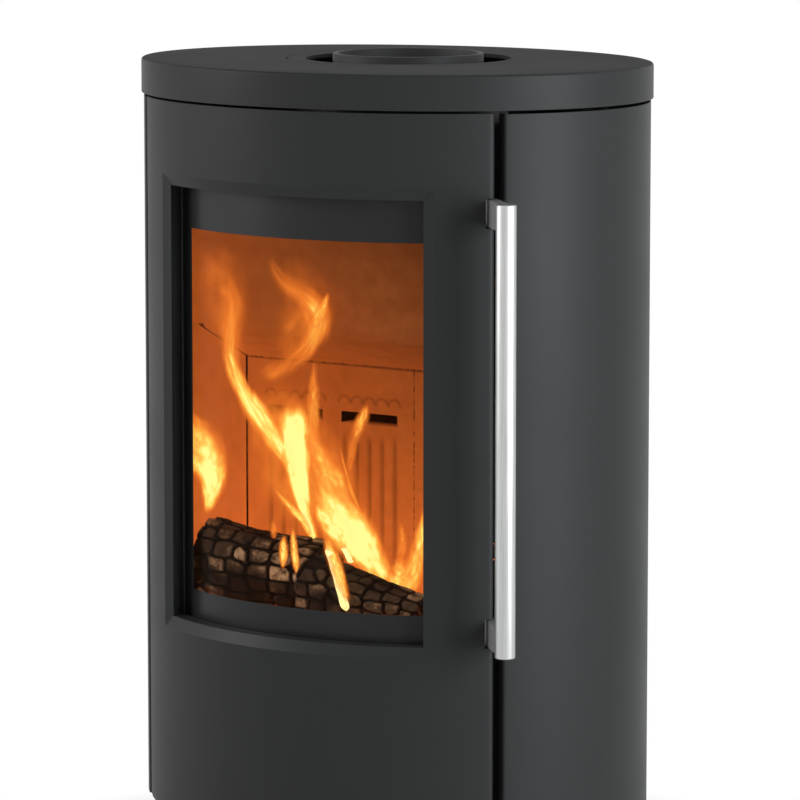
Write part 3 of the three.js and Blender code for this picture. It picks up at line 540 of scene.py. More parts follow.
def flame(t):
    """Flame: pale yellow where it is hot, orange where it is cooler, clear at its sides.

    The heat is the tongue's own heat x (1 - ragged^2)^1.2 x (1 - across^2)^0.7 x rising streaks, where across
    runs from -1 to 1 over the tongue and ragged is the same, moved by a noise.
    """
    uv = t.add("ShaderNodeTexCoord")["UV"]
    across = t.parts(uv)[0]
    stretched = t.mapped(t.place, Scale=(1.0, 1.0, 0.3))
    moved = t.math("SUBTRACT", t.noise(stretched, 48.0, 4.0, distortion=1.0), 0.5)
    ragged = t.math("ADD", across, t.math("MULTIPLY", moved, 1.3))
    arches = []
    for way, power in ((ragged, 1.2), (across, 0.7)):
        arch = t.math("SUBTRACT", 1.0, t.math("MULTIPLY", way, way))
        arches.append(t.math("POWER", t.math("MAXIMUM", arch, 0.0), power))
    long_way = t.mapped(uv, Scale=(1.6, 4.0, 1.0))
    woven = t.add("ShaderNodeVectorMath", {0: long_way, 1: stretched}, operation="ADD")[0]
    streaks = t.spread(t.noise(woven, 2.2, 4.0), 0.7, 1.25)
    heat = t.math("MULTIPLY", t.attribute("burning"), t.math("MULTIPLY", *arches), streaks)
    return t.done({
        "Emission Color": t.ramp(heat, (0.0, (0.58, 0.11, 0.012)), (0.2, (0.82, 0.17, 0.018)),
                                 (0.42, (0.97, 0.24, 0.028)), (0.66, (1.0, 0.43, 0.060)),
                                 (0.86, (1.0, 0.74, 0.14)), (1.0, (1.0, 0.98, 0.30))),
        "Emission Strength": 1.05,
        "Base Color": (0, 0, 0, 1),
        "Specular IOR Level": 0.0,
        "Roughness": 1.0,
        "Alpha": t.scaled(heat, 0.0, 0.85, 0.0, 0.92, interpolation_type="SMOOTHSTEP")})


def hot_wood(t):
    """Splinter of wood that is alight: pale yellow, with a few darker orange flecks."""
    fleck = t.noise(t.place, 120.0, 3.0)
    return t.done({
        "Emission Color": t.ramp(fleck, (0.34, (1.0, 0.50, 0.08)), (0.5, (1.0, 0.88, 0.34))),
        "Emission Strength": 1.1,
        "Base Color": (0.2, 0.1, 0.05, 1),
        "Normal": t.bump(fleck, 0.3, 0.001)})


PAINTS = {
    "black_paint": dict(color=(0.021, 0.0218, 0.0215), roughness=0.48, gloss_level=0.14),
    # same paint as black_paint: this copy's colour, lower gloss and rougher level faces are set for how light
    # falls on the top, painted light and shade rather than a different paint
    "top_paint": dict(color=(0.023, 0.0236, 0.0233), roughness=0.48, gloss_level=0.12, level_roughness=0.8),
    "inner_steel": dict(color=(0.016, 0.016, 0.016), roughness=0.62, gloss_level=0.25, grain=600.0,
                        strength=0.2, clouding=0.3),
    "glass_border": dict(color=(0.013, 0.0132, 0.013), roughness=0.34, gloss_level=0.2, grain=300.0,
                         strength=0.02),
    "arm_grey": dict(color=(0.30, 0.30, 0.30), roughness=0.42, metallic=0.6, grain=1100.0),
    "cast_iron": dict(color=(0.020, 0.020, 0.020), roughness=0.6, gloss_level=0.25, grain=380.0,
                      strength=0.5, clouding=0.3),
}
OTHERS = {"brushed_bar": brushed_steel, "firebrick": fire_brick, "rope_seal": rope,
          "stove_glass": stove_glass, "charred_wood": charred, "embers": embers, "flame": flame,
          "hot_wood": hot_wood}
FINISHES = {name: sprayed(Finish(name), **look) for name, look in PAINTS.items()}
FINISHES.update((name, build(Finish(name))) for name, build in OTHERS.items())
PLAIN_EDGES = {"latch_shaft"}       # its hooks pass close by the fire box front when the handle is pulled
SLOT_BY_NODE = {part["node"]: part["material_slot"] for part in frame["record"]["subparts"]}


# ---------- outer shell ----------
def plinth():
    """Recessed plinth: an L of upright wall and turned-in foot, carried right round the oval."""
    profile = [[16, 0], [16, 84], [19, 84], [19, 3], [44, 3], [44, 0], [16, 0]]
    inset, z = np.array(profile, float).T
    grid = oval(steps(0, 360)[:-1, None], inset, z)
    obj = piece("plinth", [(grid, None, True)], "stove", "black_paint", replaces=["plinth_ring"])
    soft_edges(obj, 0.6)


def shell_sheet(name, columns, rows, node, keep=None):
    """Outer sheet through columns of (angle, inset) and rows of z, 2 mm thick."""
    angle, inset = np.array(columns, float).T
    grid = oval(angle[:, None], inset[:, None], np.array(rows, float))
    sheet = piece(name, [(grid, keep, False)], "stove", "black_paint", (0, 0, 400), [node])
    wall(sheet, thick=2.0, soft=0.5)


def side_shell(name, side, node):
    """Side panel from beside the door to the back, with its front edge folded in on a small radius."""
    first, last, per_degree, fold, bend = 52.8, 149.8, 3.9, 14.0, 2.5
    along, inwards = quarter(bend)
    columns = [(first, fold), (first, 8.0)]
    columns += [(first + d / per_degree, i) for d, i in zip(along, inwards)]
    columns += [(a, 0.0) for a in steps(first + bend / per_degree, last)[1:]]
    shell_sheet(name, [(side * a, i) for a, i in columns], (SHELL_BOTTOM, SHELL_TOP), node)


def back_shell():
    """Back panel with two rows of upright convection slots."""
    pitch, half = 22.0, 4
    slots = [(i * pitch - half, i * pitch + half) for i in range(-4, 5)]
    edges = sorted({150.2, 209.8, *(180 - angle_at(x) for slot in slots for x in slot)})
    angles = np.unique(np.concatenate([steps(a, b) for a, b in zip(edges, edges[1:])]).round(6))
    rows = np.array([SHELL_BOTTOM, 120, 190, 640, 710, SHELL_TOP])
    middle = BODY_A * np.sin(np.radians((angles[1:] + angles[:-1]) / 2))
    open_column = np.any([(middle > a) & (middle < b) for a, b in slots], 0)
    open_row = np.array([False, True, False, True, False])
    keep = ~(open_column[:, None] & open_row)
    shell_sheet("back_shell", [(a, 0.0) for a in angles], rows, "back_panel", keep)


def insert_outline(half, back_inset):
    """Plan of the U-shaped insert, from its right rear corner round the front to its left rear corner."""
    rear = (BODY_B - back_inset) * math.sqrt(1 - (half / (BODY_A - back_inset)) ** 2)
    side_y = np.linspace(rear - 6, COLLAR_Y, 16)[:-1]
    turn = np.radians(steps(0, -180, 3))
    arc = np.stack([half * np.cos(turn), COLLAR_Y + half * np.sin(turn)], 1)
    right = np.stack([np.full_like(side_y, half), side_y], 1)
    return np.concatenate([right, arc, right[::-1] * [-1, 1]])


def rim_points():
    """Quarter round from the top surface to the rim's side, then down to its lower edge."""
    down, inwards = quarter(RIM_ROUND)
    return np.append(inwards - RIM_OVER, -RIM_OVER), np.append(TOP_Z - down, RIM_BOTTOM)


def top_cover():
    """Top plate: strips from the U-shaped opening out to the oval, over the rounded edge and down the rim."""
    half = INSERT_HALF + INSERT_SEAM
    inner = insert_outline(half, -RIM_OVER)
    rear_angle = 180 - math.degrees(math.asin(half / (BODY_A + RIM_OVER)))
    count = len(inner)
    rear = np.linspace(rear_angle, 96, 15, endpoint=False)
    angles = np.concatenate([rear, np.linspace(96, -96, count - 2 * len(rear)), -rear[::-1]])
    inset, z = rim_points()
    rim = oval(angles[:, None], inset, z)
    start = np.concatenate([inner, np.full((count, 1), TOP_Z)], 1)[:, None]
    blend = np.linspace(0, 1, 6)[:-1][:, None]
    flat = start * (1 - blend) + rim[:, :1] * blend
    grid = np.concatenate([flat, rim], 1)
    sheet = piece("top_cover", [grid], "stove", "top_paint", (0, 0, 600), ["top_plate"])
    wall(sheet, thick=5.3, soft=0.35)


def top_lid():
    """Insert of the top: strips from its round hole to its U-shaped outline, and its piece of the rim."""
    outline = insert_outline(INSERT_HALF, -RIM_OVER)
    corner = math.degrees(math.asin(INSERT_HALF / (BODY_A + RIM_OVER)))
    back = 180 - steps(-corner, corner)
    inset, z = rim_points()
    apron = oval(back[:, None], inset, z)
    edge = np.concatenate([outline, apron[:, 0, :2]])
    away = edge - [0, COLLAR_Y]
    reach = np.hypot(*away.T)[:, None]
    radii = INSERT_HOLE + (reach - INSERT_HOLE) * np.linspace(0, 1, 5)
    plan = (away / reach)[:, None] * radii[..., None] + [0, COLLAR_Y]
    plate = np.concatenate([plan, np.full((*plan.shape[:2], 1), TOP_Z)], 2)
    sheet = piece("top_lid", [(plate, None, True), apron], "stove", "top_paint", (0, 0, 600), ["top_insert"])
    wall(sheet, thick=3.7, soft=0.35)


def flue():
    """Flue collar: a turned spigot with a rounded lip, and its flange on the smoke box."""
    foot, lip, flange, thick = 744.3, 1.2, 88, 5.7
    turn = np.linspace(0, np.pi, 9)
    middle, half = (COLLAR_OUTER + COLLAR_INNER) / 2, (COLLAR_OUTER - COLLAR_INNER) / 2
    rounded = np.stack([middle + half * np.cos(turn), COLLAR_TOP - lip + lip * np.sin(turn)], 1)
    profile = [[COLLAR_INNER, foot], [flange, foot], [flange, foot + thick], [COLLAR_OUTER, foot + thick],
               *rounded, [COLLAR_INNER, foot]]
    turned("flue", profile, 0, COLLAR_Y, "stove", "cast_iron", ["flue_collar"], 96)


# ---------- door ----------
def door_columns():
    """Angles and insets across the door: folded edges, rounded corners, and the face between them."""
    per_degree = math.radians(1) * math.hypot(
        BODY_A * math.cos(math.radians(DOOR_ANGLE)), BODY_B * math.sin(math.radians(DOOR_ANGLE)))
    along, inwards = quarter(DOOR_ROUND, 10)
    corner = [(DOOR_ANGLE - d / per_degree, i) for d, i in zip(along, inwards)]
    window = angle_at(WINDOW_HALF + BEVEL_WIDTH)
    notch = DOOR_ANGLE - NOTCH_SIDE / per_degree
    face = np.concatenate([steps(corner[-1][0], notch)[1:], steps(notch, window)[1:]])
    right = [(DOOR_ANGLE, DOOR_FLANGE), *corner, *((a, 0.0) for a in face)]
    middle = [(a, 0.0) for a in steps(-window, window)[1:-1]]
    columns = np.array([(-a, i) for a, i in right] + middle + right[::-1])
    return columns[:, 0], columns[:, 1], window, notch


def door_skin():
    """Curved door: face with rounded and folded edges, notches for the handle arms, a bevelled window
    and its reveal, and shelves turned in at the top and bottom."""
    angle, inset, window, notch = door_columns()
    low, high = WINDOW_BOTTOM - BEVEL_WIDTH, WINDOW_TOP + BEVEL_WIDTH
    rows = np.array(sorted({DOOR_BOTTOM, DOOR_TOP, low, high, *(z for pair in NOTCHES for z in pair)}))
    grid = oval(angle[:, None], inset[:, None], rows)
    mid_angle = (angle[1:] + angle[:-1]) / 2
    mid_row = (rows[1:] + rows[:-1]) / 2
    in_window = (np.abs(mid_angle) < window)[:, None] & ((mid_row > low) & (mid_row < high))
    in_notch = (mid_angle > notch)[:, None] & np.any([(mid_row > a) & (mid_row < b) for a, b in NOTCHES], 0)
    patches = [(grid, ~(in_window | in_notch), False)]

    shrink = WINDOW_HALF / (WINDOW_HALF + BEVEL_WIDTH)
    depths = np.array([0.0, BEVEL_DEPTH, REVEAL_END])

    def drawn_in(x, z):
        z_in = WINDOW_BOTTOM + (z - low) * (WINDOW_TOP - WINDOW_BOTTOM) / (high - low)
        xs = np.stack([x, x * shrink, x * shrink], -1)
        zs = np.stack([z, z_in, z_in], -1)
        return front(xs, depths, zs)

    across = BODY_A * np.sin(np.radians(angle[np.abs(angle) <= window + 1e-6]))
    beside = rows[(rows >= low) & (rows <= high)]
    for z in (low, high):
        patches.append(drawn_in(across, np.full_like(across, z)))
    for side in (-1, 1):
        patches.append(drawn_in(np.full_like(beside, side * across[-1]), beside))

    shelf = slice(2, -2)
    for z in (DOOR_BOTTOM, DOOR_TOP):
        patches.append(np.stack([oval(angle[shelf], inset[shelf], z), oval(angle[shelf], DOOR_DEPTH, z)], 1))
    sheet = piece("door_skin", patches, "door", "black_paint", (0, 0, 420), ["door_panel"])
    wall(sheet, thick=2.6, soft=1.0, angle=18, segments=3)


def window_pane():
    """Curved pane: a plate of even thickness along the oval's front."""
    x = steps(-GLASS_HALF, GLASS_HALF, 5)
    z = np.array([GLASS_BOTTOM, GLASS_TOP, GLASS_TOP, GLASS_BOTTOM, GLASS_BOTTOM])
    depth = np.array([0, 0, GLASS_THICK, GLASS_THICK, 0]) + GLASS_INSET
    grid = front(x[:, None], depth, z)
    caps = [np.stack([grid[k, [0, 1]], grid[k, [3, 2]]]) for k in (0, -1)]
    piece("window_pane", [grid, *caps], "door", "stove_glass", replaces=["glass_pane"])


def printed_border():
    """Dark printed border on the front of the pane: a thin curved frame."""
    x = np.concatenate([steps(-GLASS_HALF, CLEAR_LEFT, 5), steps(CLEAR_LEFT, CLEAR_RIGHT, 5)[1:],
                        steps(CLEAR_RIGHT, GLASS_HALF, 5)[1:]])
    z = np.array([GLASS_BOTTOM, CLEAR_BOTTOM, CLEAR_TOP, GLASS_TOP])
    middle = (x[1:] + x[:-1]) / 2
    clear = (middle > CLEAR_LEFT) & (middle < CLEAR_RIGHT)
    keep = ~(clear[:, None] & np.array([False, True, False]))
    grid = front(x[:, None], GLASS_INSET - 0.4, z)
    sheet = piece("printed_border", [(grid, keep, False)], "door", "glass_border", (0, 0, 470))
    wall(sheet, thick=0.3, soft=0.06, segments=1)


# ---------- handle ----------
def grip():
    """Round steel bar: a turned solid with softened ends."""
    soft = 1.2
    turn = np.linspace(0, np.pi / 2, 5)
    over = np.stack([BAR_RADIUS - soft + soft * np.cos(turn), BAR_TOP - soft + soft * np.sin(turn)], 1)
    under = np.stack([over[:, 0], BAR_TOP + BAR_BOTTOM - over[:, 1]], 1)[::-1]
    profile = [[0, BAR_BOTTOM], *under, *over, [0, BAR_TOP]]
    turned("grip", profile, BAR_X, BAR_Y, "handle", "brushed_bar", ["handle_bar"])


# ---------- fire box ----------
def ribbed_plate(name, side, node):
    """Cast back plate as a height field over x and z: upright grooves, arches and two deep air slots.

    A groove's depth falls off as e^(-(distance / half width)^2) from its line, an arch's from its circle.
    Painted shade darkens the grooves, arches, slots and edges, and one side of each groove is painted lighter
    than the other.
    """
    groove_depth, groove_half, groove_shade = 2.4, 2.6, 0.34
    arch_depth, arch_half, arch_shade, arch_radius, arch_rise = 1.2, 1.1, 0.30, 6.5, 19
    slot_depth, edge_depth, edge_shade = 20.0, 1.2, 0.85
    x = np.linspace(0.2, PLATE_HALF, 215) * side
    z = np.linspace(HEARTH_TOP, PLATE_TOP, 225)
    xs, zs = np.meshgrid(np.abs(x), z, indexing="ij")
    depth = np.zeros_like(xs)
    # painted shade: darkens the colour and the painted fire light in grooves, arches, slots and along the
    # edges
    painted_shade = np.zeros_like(xs)
    below = np.clip((SLOT_BOTTOM - 8 - zs) / 12, 0, 1) * np.clip((zs - HEARTH_TOP - 20) / 10, 0, 1)
    above = np.clip((zs - SLOT_BOTTOM - 17) / 3, 0, 1)
    for i in range(2):
        start = SLOT_NEAR + i * SLOT_PITCH
        for centre in start + 2 + np.arange(5) * (SLOT_WIDTH - 4) / 4:
            groove = np.exp(-((xs - centre) / groove_half) ** 2) * below
            ring = np.abs(np.hypot(xs - centre, zs - SLOT_BOTTOM - arch_rise) - arch_radius)
            arch = np.exp(-(ring / arch_half) ** 2) * above
            depth += groove_depth * groove + arch_depth * arch
            painted_shade += groove_shade * groove + arch_shade * arch
        beside = np.abs(xs - start - SLOT_WIDTH / 2) - SLOT_WIDTH / 2
        over = np.abs(zs - SLOT_BOTTOM - SLOT_HEIGHT / 2) - SLOT_HEIGHT / 2
        depth = np.where((beside < 0) & (over < 0), slot_depth, depth)
        painted_shade = np.where((beside < 0.9) & (over < 0.4), 1.0, painted_shade)
    # painted side light: one side of each groove and arch is painted lighter and the other darker, from the
    # slope across x
    leaning = np.clip(np.gradient(np.where(depth < slot_depth / 2, depth, 0.0), x, axis=0), -1, 1)
    # painted shade along the plate's edges, where it meets the bricks and the other plate
    to_edge = np.minimum(np.minimum(xs + 0.5, PLATE_HALF - xs), PLATE_TOP - zs)
    edge = np.clip(1.5 - to_edge, 0, 1)
    depth += edge_depth * edge
    painted_shade = np.maximum(np.clip(painted_shade + 0.10 * leaning, 0, 1), edge_shade * edge)
    face = points(x[:, None], PLATE_FRONT + depth, zs)
    back = face.copy()
    back[..., 1] = PLATE_FRONT + PLATE_THICK
    rims = [np.stack([face[k], back[k]]) for k in (0, -1)]
    rims += [np.stack([face[:, k], back[:, k]], 1) for k in (0, -1)]
    plain = [np.zeros(rim.shape[:2]) for rim in rims]
    shown = np.concatenate([part.ravel() for part in (painted_shade, *plain, painted_shade * 0)])
    piece(name, [face, *rims, back], "stove", "firebrick", replaces=[node], attributes={"painted_shade": shown})


def baffle():
    """Baffle seen from the fire: a profile of y and z carried across the chamber.

    It rises from the back plates, bends up on a radius and ends behind the window's top. Its half width
    follows the oval. Narrow columns and rows carry painted shade along the joints over the side bricks' inner
    edges and the back plates' top.
    """
    slope, level, foot, side_gap = 0.374, 30.0, PLATE_TOP + 1, 39
    bend = np.linspace(math.atan(slope), math.radians(81), 12)
    radius = 14.0
    rise_y = np.linspace(level, -74, 12)
    rise_z = foot + (level - rise_y) * slope
    curve_y = rise_y[-1] - radius * (np.sin(bend) - np.sin(bend[0]))
    curve_z = rise_z[-1] + radius * (np.cos(bend[0]) - np.cos(bend))
    y = np.concatenate([[58.0, 32.5, 31.5], rise_y, curve_y[1:], [curve_y[-1] - 0.3, -101.0]])
    z = np.concatenate([[foot, foot, foot], rise_z, curve_z[1:], [curve_z[-1] + 2, 651.0]])
    half = (BODY_A - side_gap) * np.sqrt(1 - (y / (BODY_B - side_gap)) ** 2)
    right = np.where(z > 560, np.minimum(half, LATCH_SIDE), half)
    brick_left = -BRICK_FACE - 0.257 * (y + 97)
    brick_right = np.minimum(BRICK_FACE + 2 + 0.274 * (y + 82), right - 5)
    across = [(brick_left + (-half - brick_left) * t, 0) for t in (1, 0.66, 0.33)]
    across += [(brick_left + d, d < 2) for d in (-1.2, 0.0, 1.6, 2.2)]
    across += [(brick_left + 4 + (brick_right - brick_left - 8) * t, 0) for t in np.linspace(0, 1, 40)]
    across += [(brick_right + d, d > -2) for d in (-2.2, -1.6, 0.0, 1.2)]
    across += [(brick_right + (right - brick_right) * t, 0) for t in (0.5, 1)]
    columns = np.array([x for x, _ in across])
    joint = np.array([dark for _, dark in across], bool)[:, None]
    grid = points(columns, y, z)
    behind = (y > 31) & (y < 33)
    # painted shade along the joints: over the side bricks' inner edges below their top, and over the back
    # plates' top
    dark = np.where(joint & (z < BRICK_TOP) | behind, 0.75, 0.0)
    sheet = piece("baffle", [grid], "stove", "firebrick", (0, 60, 700), ["baffle_lower", "baffle_upper"],
                  attributes={"painted_shade": dark})
    wall(sheet, thick=7.0, soft=0.8)


def checks(around, along, count_around, count_along, seed):
    """Cell pattern of burnt wood: each point's gap between its two nearest seeds, and the nearer's number.

    Distance is (|du|^5 + |dv|^5)^(1/5), which makes the cells nearly rectangular. Seeds are one to a cell of
    a lattice, moved by a seeded random amount; the lattice wraps round the log.
    """
    rng = np.random.default_rng(seed)
    moved = rng.uniform(0.22, 0.78, (count_around, count_along + 4, 2))
    number = rng.uniform(0, 1, (count_around, count_along + 4))
    u, v = around * count_around, along * count_along + 2
    cell_u, cell_v = np.floor(u).astype(int), np.floor(v).astype(int)
    nearest = np.full(u.shape, 9.0)
    second = np.full(u.shape, 9.0)
    own = np.zeros(u.shape)
    for du in (-1, 0, 1):
        for dv in (-1, 0, 1):
            cu, cv = cell_u + du, np.clip(cell_v + dv, 0, count_along + 3)
            seed_u = cu + moved[cu % count_around, cv, 0]
            seed_v = cv + moved[cu % count_around, cv, 1]
            away = (np.abs(u - seed_u) ** 5 + np.abs(v - seed_v) ** 5) ** 0.2
            closer = away < nearest
            second = np.where(closer, nearest, np.minimum(second, away))
            own = np.where(closer, number[cu % count_around, cv], own)
            nearest = np.minimum(nearest, away)
    return second - nearest, own


def burnt_log(name, node, start, start_radius, end, end_radius, cells, seed, ash, slant=0.0):
    """Burnt log: a rounded square of changing radius carried along a line, cut into plates by cracks.

    radius = even change from end to end x rounded square x slow waves - the depth of the cracks.
    ash is how pale its plates are at most. slant leans the first end, as the brick beside it leans: by that
    much of each point's place to the side, up to where the brick ends.
    """
    crack_depth, plate_step, brick_end = 3.4, 2.2, 20
    a, b = np.array(start, float), np.array(end, float)
    axis = (b - a) / np.linalg.norm(b - a)
    side = np.cross(axis, [0, 0, 1.0])
    side /= np.linalg.norm(side)
    up = np.cross(side, axis)
    around = np.arange(270) / 270
    along = np.linspace(0, 1, 290)
    us, vs = np.meshgrid(around, along, indexing="ij")
    gap, own = checks(us, vs, *cells, seed)
    turn = us * 2 * np.pi
    radius = (start_radius + (end_radius - start_radius) * vs) * rounded_square(turn, 2.5)
    waves = 0.98 + 0.03 * np.sin(3 * turn + 5 * vs + seed) + 0.02 * np.sin(5 * turn - 9 * vs)
    length = np.linalg.norm(b - a)
    edge = np.minimum(vs, 1 - vs) * length
    shoulder = 0.96 + 0.04 * np.sqrt(1 - (1 - np.clip(edge / 4, 0, 1)) ** 2)
    crack = np.clip(gap / 0.26, 0, 1)
    surface = radius * waves * shoulder - crack_depth * (1 - crack) ** 1.5 + plate_step * (own - 0.5) * crack
    surface -= 1.2
    centre = a + vs[..., None] * (b - a)
    lean = slant * np.minimum(np.cos(turn) * surface, brick_end)
    centre = centre + (lean * (1 - vs) ** 3)[..., None] * axis
    ring = centre + surface[..., None] * (np.cos(turn)[..., None] * side + np.sin(turn)[..., None] * up)
    tips = [np.broadcast_to(end_point, ring[:, 0].shape) for end_point in (a, b)]
    first = (ring[:, 0] + tips[0]) / 2 + axis * 1.5
    last = (ring[:, -1] + tips[1]) / 2 - axis * 1.5
    grid = np.concatenate([tips[0][:, None], first[:, None], ring, last[:, None], tips[1][:, None]], 1)
    pad = ((0, 0), (2, 2))
    shown = {"crack": np.pad(np.clip(gap / 0.5, 0, 1), pad, mode="edge"),
             "plate": np.pad(ash * (0.4 + 0.6 * own), pad, mode="edge")}
    piece(name, [(grid, None, True)], "stove", "charred_wood", replaces=[node], attributes=shown)


def ember_heap():
    """Bed of embers: a low oval mound with lumps from a seeded cell pattern."""
    half_width, half_depth, middle = 122, 73, -60
    s = np.linspace(0, 1, 70)[None, :]
    turn = full_turn(220)
    x = half_width * s * np.cos(turn)
    y = middle + half_depth * s * np.sin(turn)
    gap, own = checks((x + 150) / 300, (y + 150) / 300, 26, 26, 7)
    lump = np.clip(gap / 0.5, 0, 1) * (0.4 + own)
    z = HEARTH_TOP + 0.6 + (3.4 * (1 - s ** 4) + 6.5 * lump * (1 - s ** 6))
    top = points(x, y, z)
    top[:, 0] = top[:1, 0]
    base = points(x[:, ::-1], y[:, ::-1], HEARTH_TOP + 0.1)
    grid = np.concatenate([top, base], 1)
    piece("ember_heap", [(grid, None, True)], "stove", "embers", replaces=["ember_bed"])


# ---------- flames ----------
def seen_at(u, v, depth):
    """Where a point (u, v) of the picture lies on the upright plane that faces the camera at a depth from the
    fire: distance across the plane, and height. The camera's ray through the point is cut with the plane."""
    tilt = math.radians(VIEW_TILT)
    a = ((u - PICTURE / 2) / PICTURE + VIEW_SHIFT[0]) * SENSOR / VIEW_LENS
    b = ((PICTURE / 2 - v) / PICTURE + VIEW_SHIFT[1]) * SENSOR / VIEW_LENS
    reach = (VIEW_AHEAD @ (FIRE - VIEW_PLACE[:2]) + depth) / (math.cos(tilt) + b * math.sin(tilt))
    across = VIEW_RIGHT @ (VIEW_PLACE[:2] - FIRE) + reach * a
    return across, VIEW_PLACE[2] + reach * (b * math.cos(tilt) - math.sin(tilt))


def in_fire(across, depth, height):
    """Points of the fire from their distances across and into the photo's view, and their height."""
    x, y = (FIRE[k] + across * VIEW_RIGHT[k] + depth * VIEW_AHEAD[k] for k in (0, 1))
    return points(x, y, height)


def smooth(chord, values, at):
    """Smooth curve through the values: cubic pieces whose slopes are the mean of their neighbours'."""
    slopes = np.gradient(values, chord)
    k = np.clip(np.searchsorted(chord, at, side="right") - 1, 0, len(chord) - 2)
    span = chord[k + 1] - chord[k]
    t = (at - chord[k]) / span
    return ((2 * t ** 3 - 3 * t ** 2 + 1) * values[k] + (t ** 3 - 2 * t ** 2 + t) * span * slopes[k]
            + (-2 * t ** 3 + 3 * t ** 2) * values[k + 1] + (t ** 3 - t ** 2) * span * slopes[k + 1])


def tongue(name, depths, *spine):
    """One flame: an oval section carried up a smooth spine, thin front to back and pinched at both ends.

    depths are those of its foot and its tip. Each point of the spine, from foot to tip, is (u, v) in the
    picture, the width there, and the heat.
    """
    u, v, width, heat = np.array(spine, float).T
    depth = np.linspace(*depths, len(u))
    across, height = seen_at(u, v, depth)
    chord = np.concatenate([[0], np.cumsum(np.hypot(np.diff(across), np.diff(height)))])
    at = np.linspace(0, chord[-1], 64)
    across, height, width, heat, depth = (
        smooth(chord, values, at) for values in (across, height, width, heat, depth))
    width = np.maximum(width, 0.5)
    width[[0, -1]] = 0.0
    turn = full_turn(28)
    flatness = 0.16
    slope = np.arctan2(np.gradient(across), np.gradient(height))
    shift = np.cos(turn) * width / 2
    grid = in_fire(across + shift * np.cos(slope), depth + np.sin(turn) * width * flatness,
                   height - shift * np.sin(slope))
    uv = np.stack(np.broadcast_arrays(np.cos(turn), at / chord[-1]), -1)
    ends = np.minimum(1, 8 * np.minimum(at, chord[-1] - at) / chord[-1])
    heats = np.broadcast_to(np.clip(heat, 0, 2) * ends, grid.shape[:2])
    piece(name, [(grid, None, True)], "stove", "flame", uvs=uv, attributes={"burning": heats})


def splinter(name, depth, top, bottom, width):
    """Burning splinter: a rounded square carried down a straight line, narrowed at both ends."""
    (s0, z0), (s1, z1) = seen_at(*top, depth), seen_at(*bottom, depth)
    at = np.linspace(0, 1, 40)
    s = s0 + (s1 - s0) * at + 0.5 * np.sin(5 * at)
    half = width / 2 * np.clip(np.minimum(at, 1 - at) * 14, 0, 1) ** 0.5 * (1 + 0.04 * np.sin(23 * at))
    turn = full_turn(24)
    half = half * rounded_square(turn, 4)
    grid = in_fire(s + half * np.cos(turn), depth + 0.8 * half * np.sin(turn), z0 + (z1 - z0) * at)
    piece(name, [(grid, None, True)], "stove", "hot_wood")


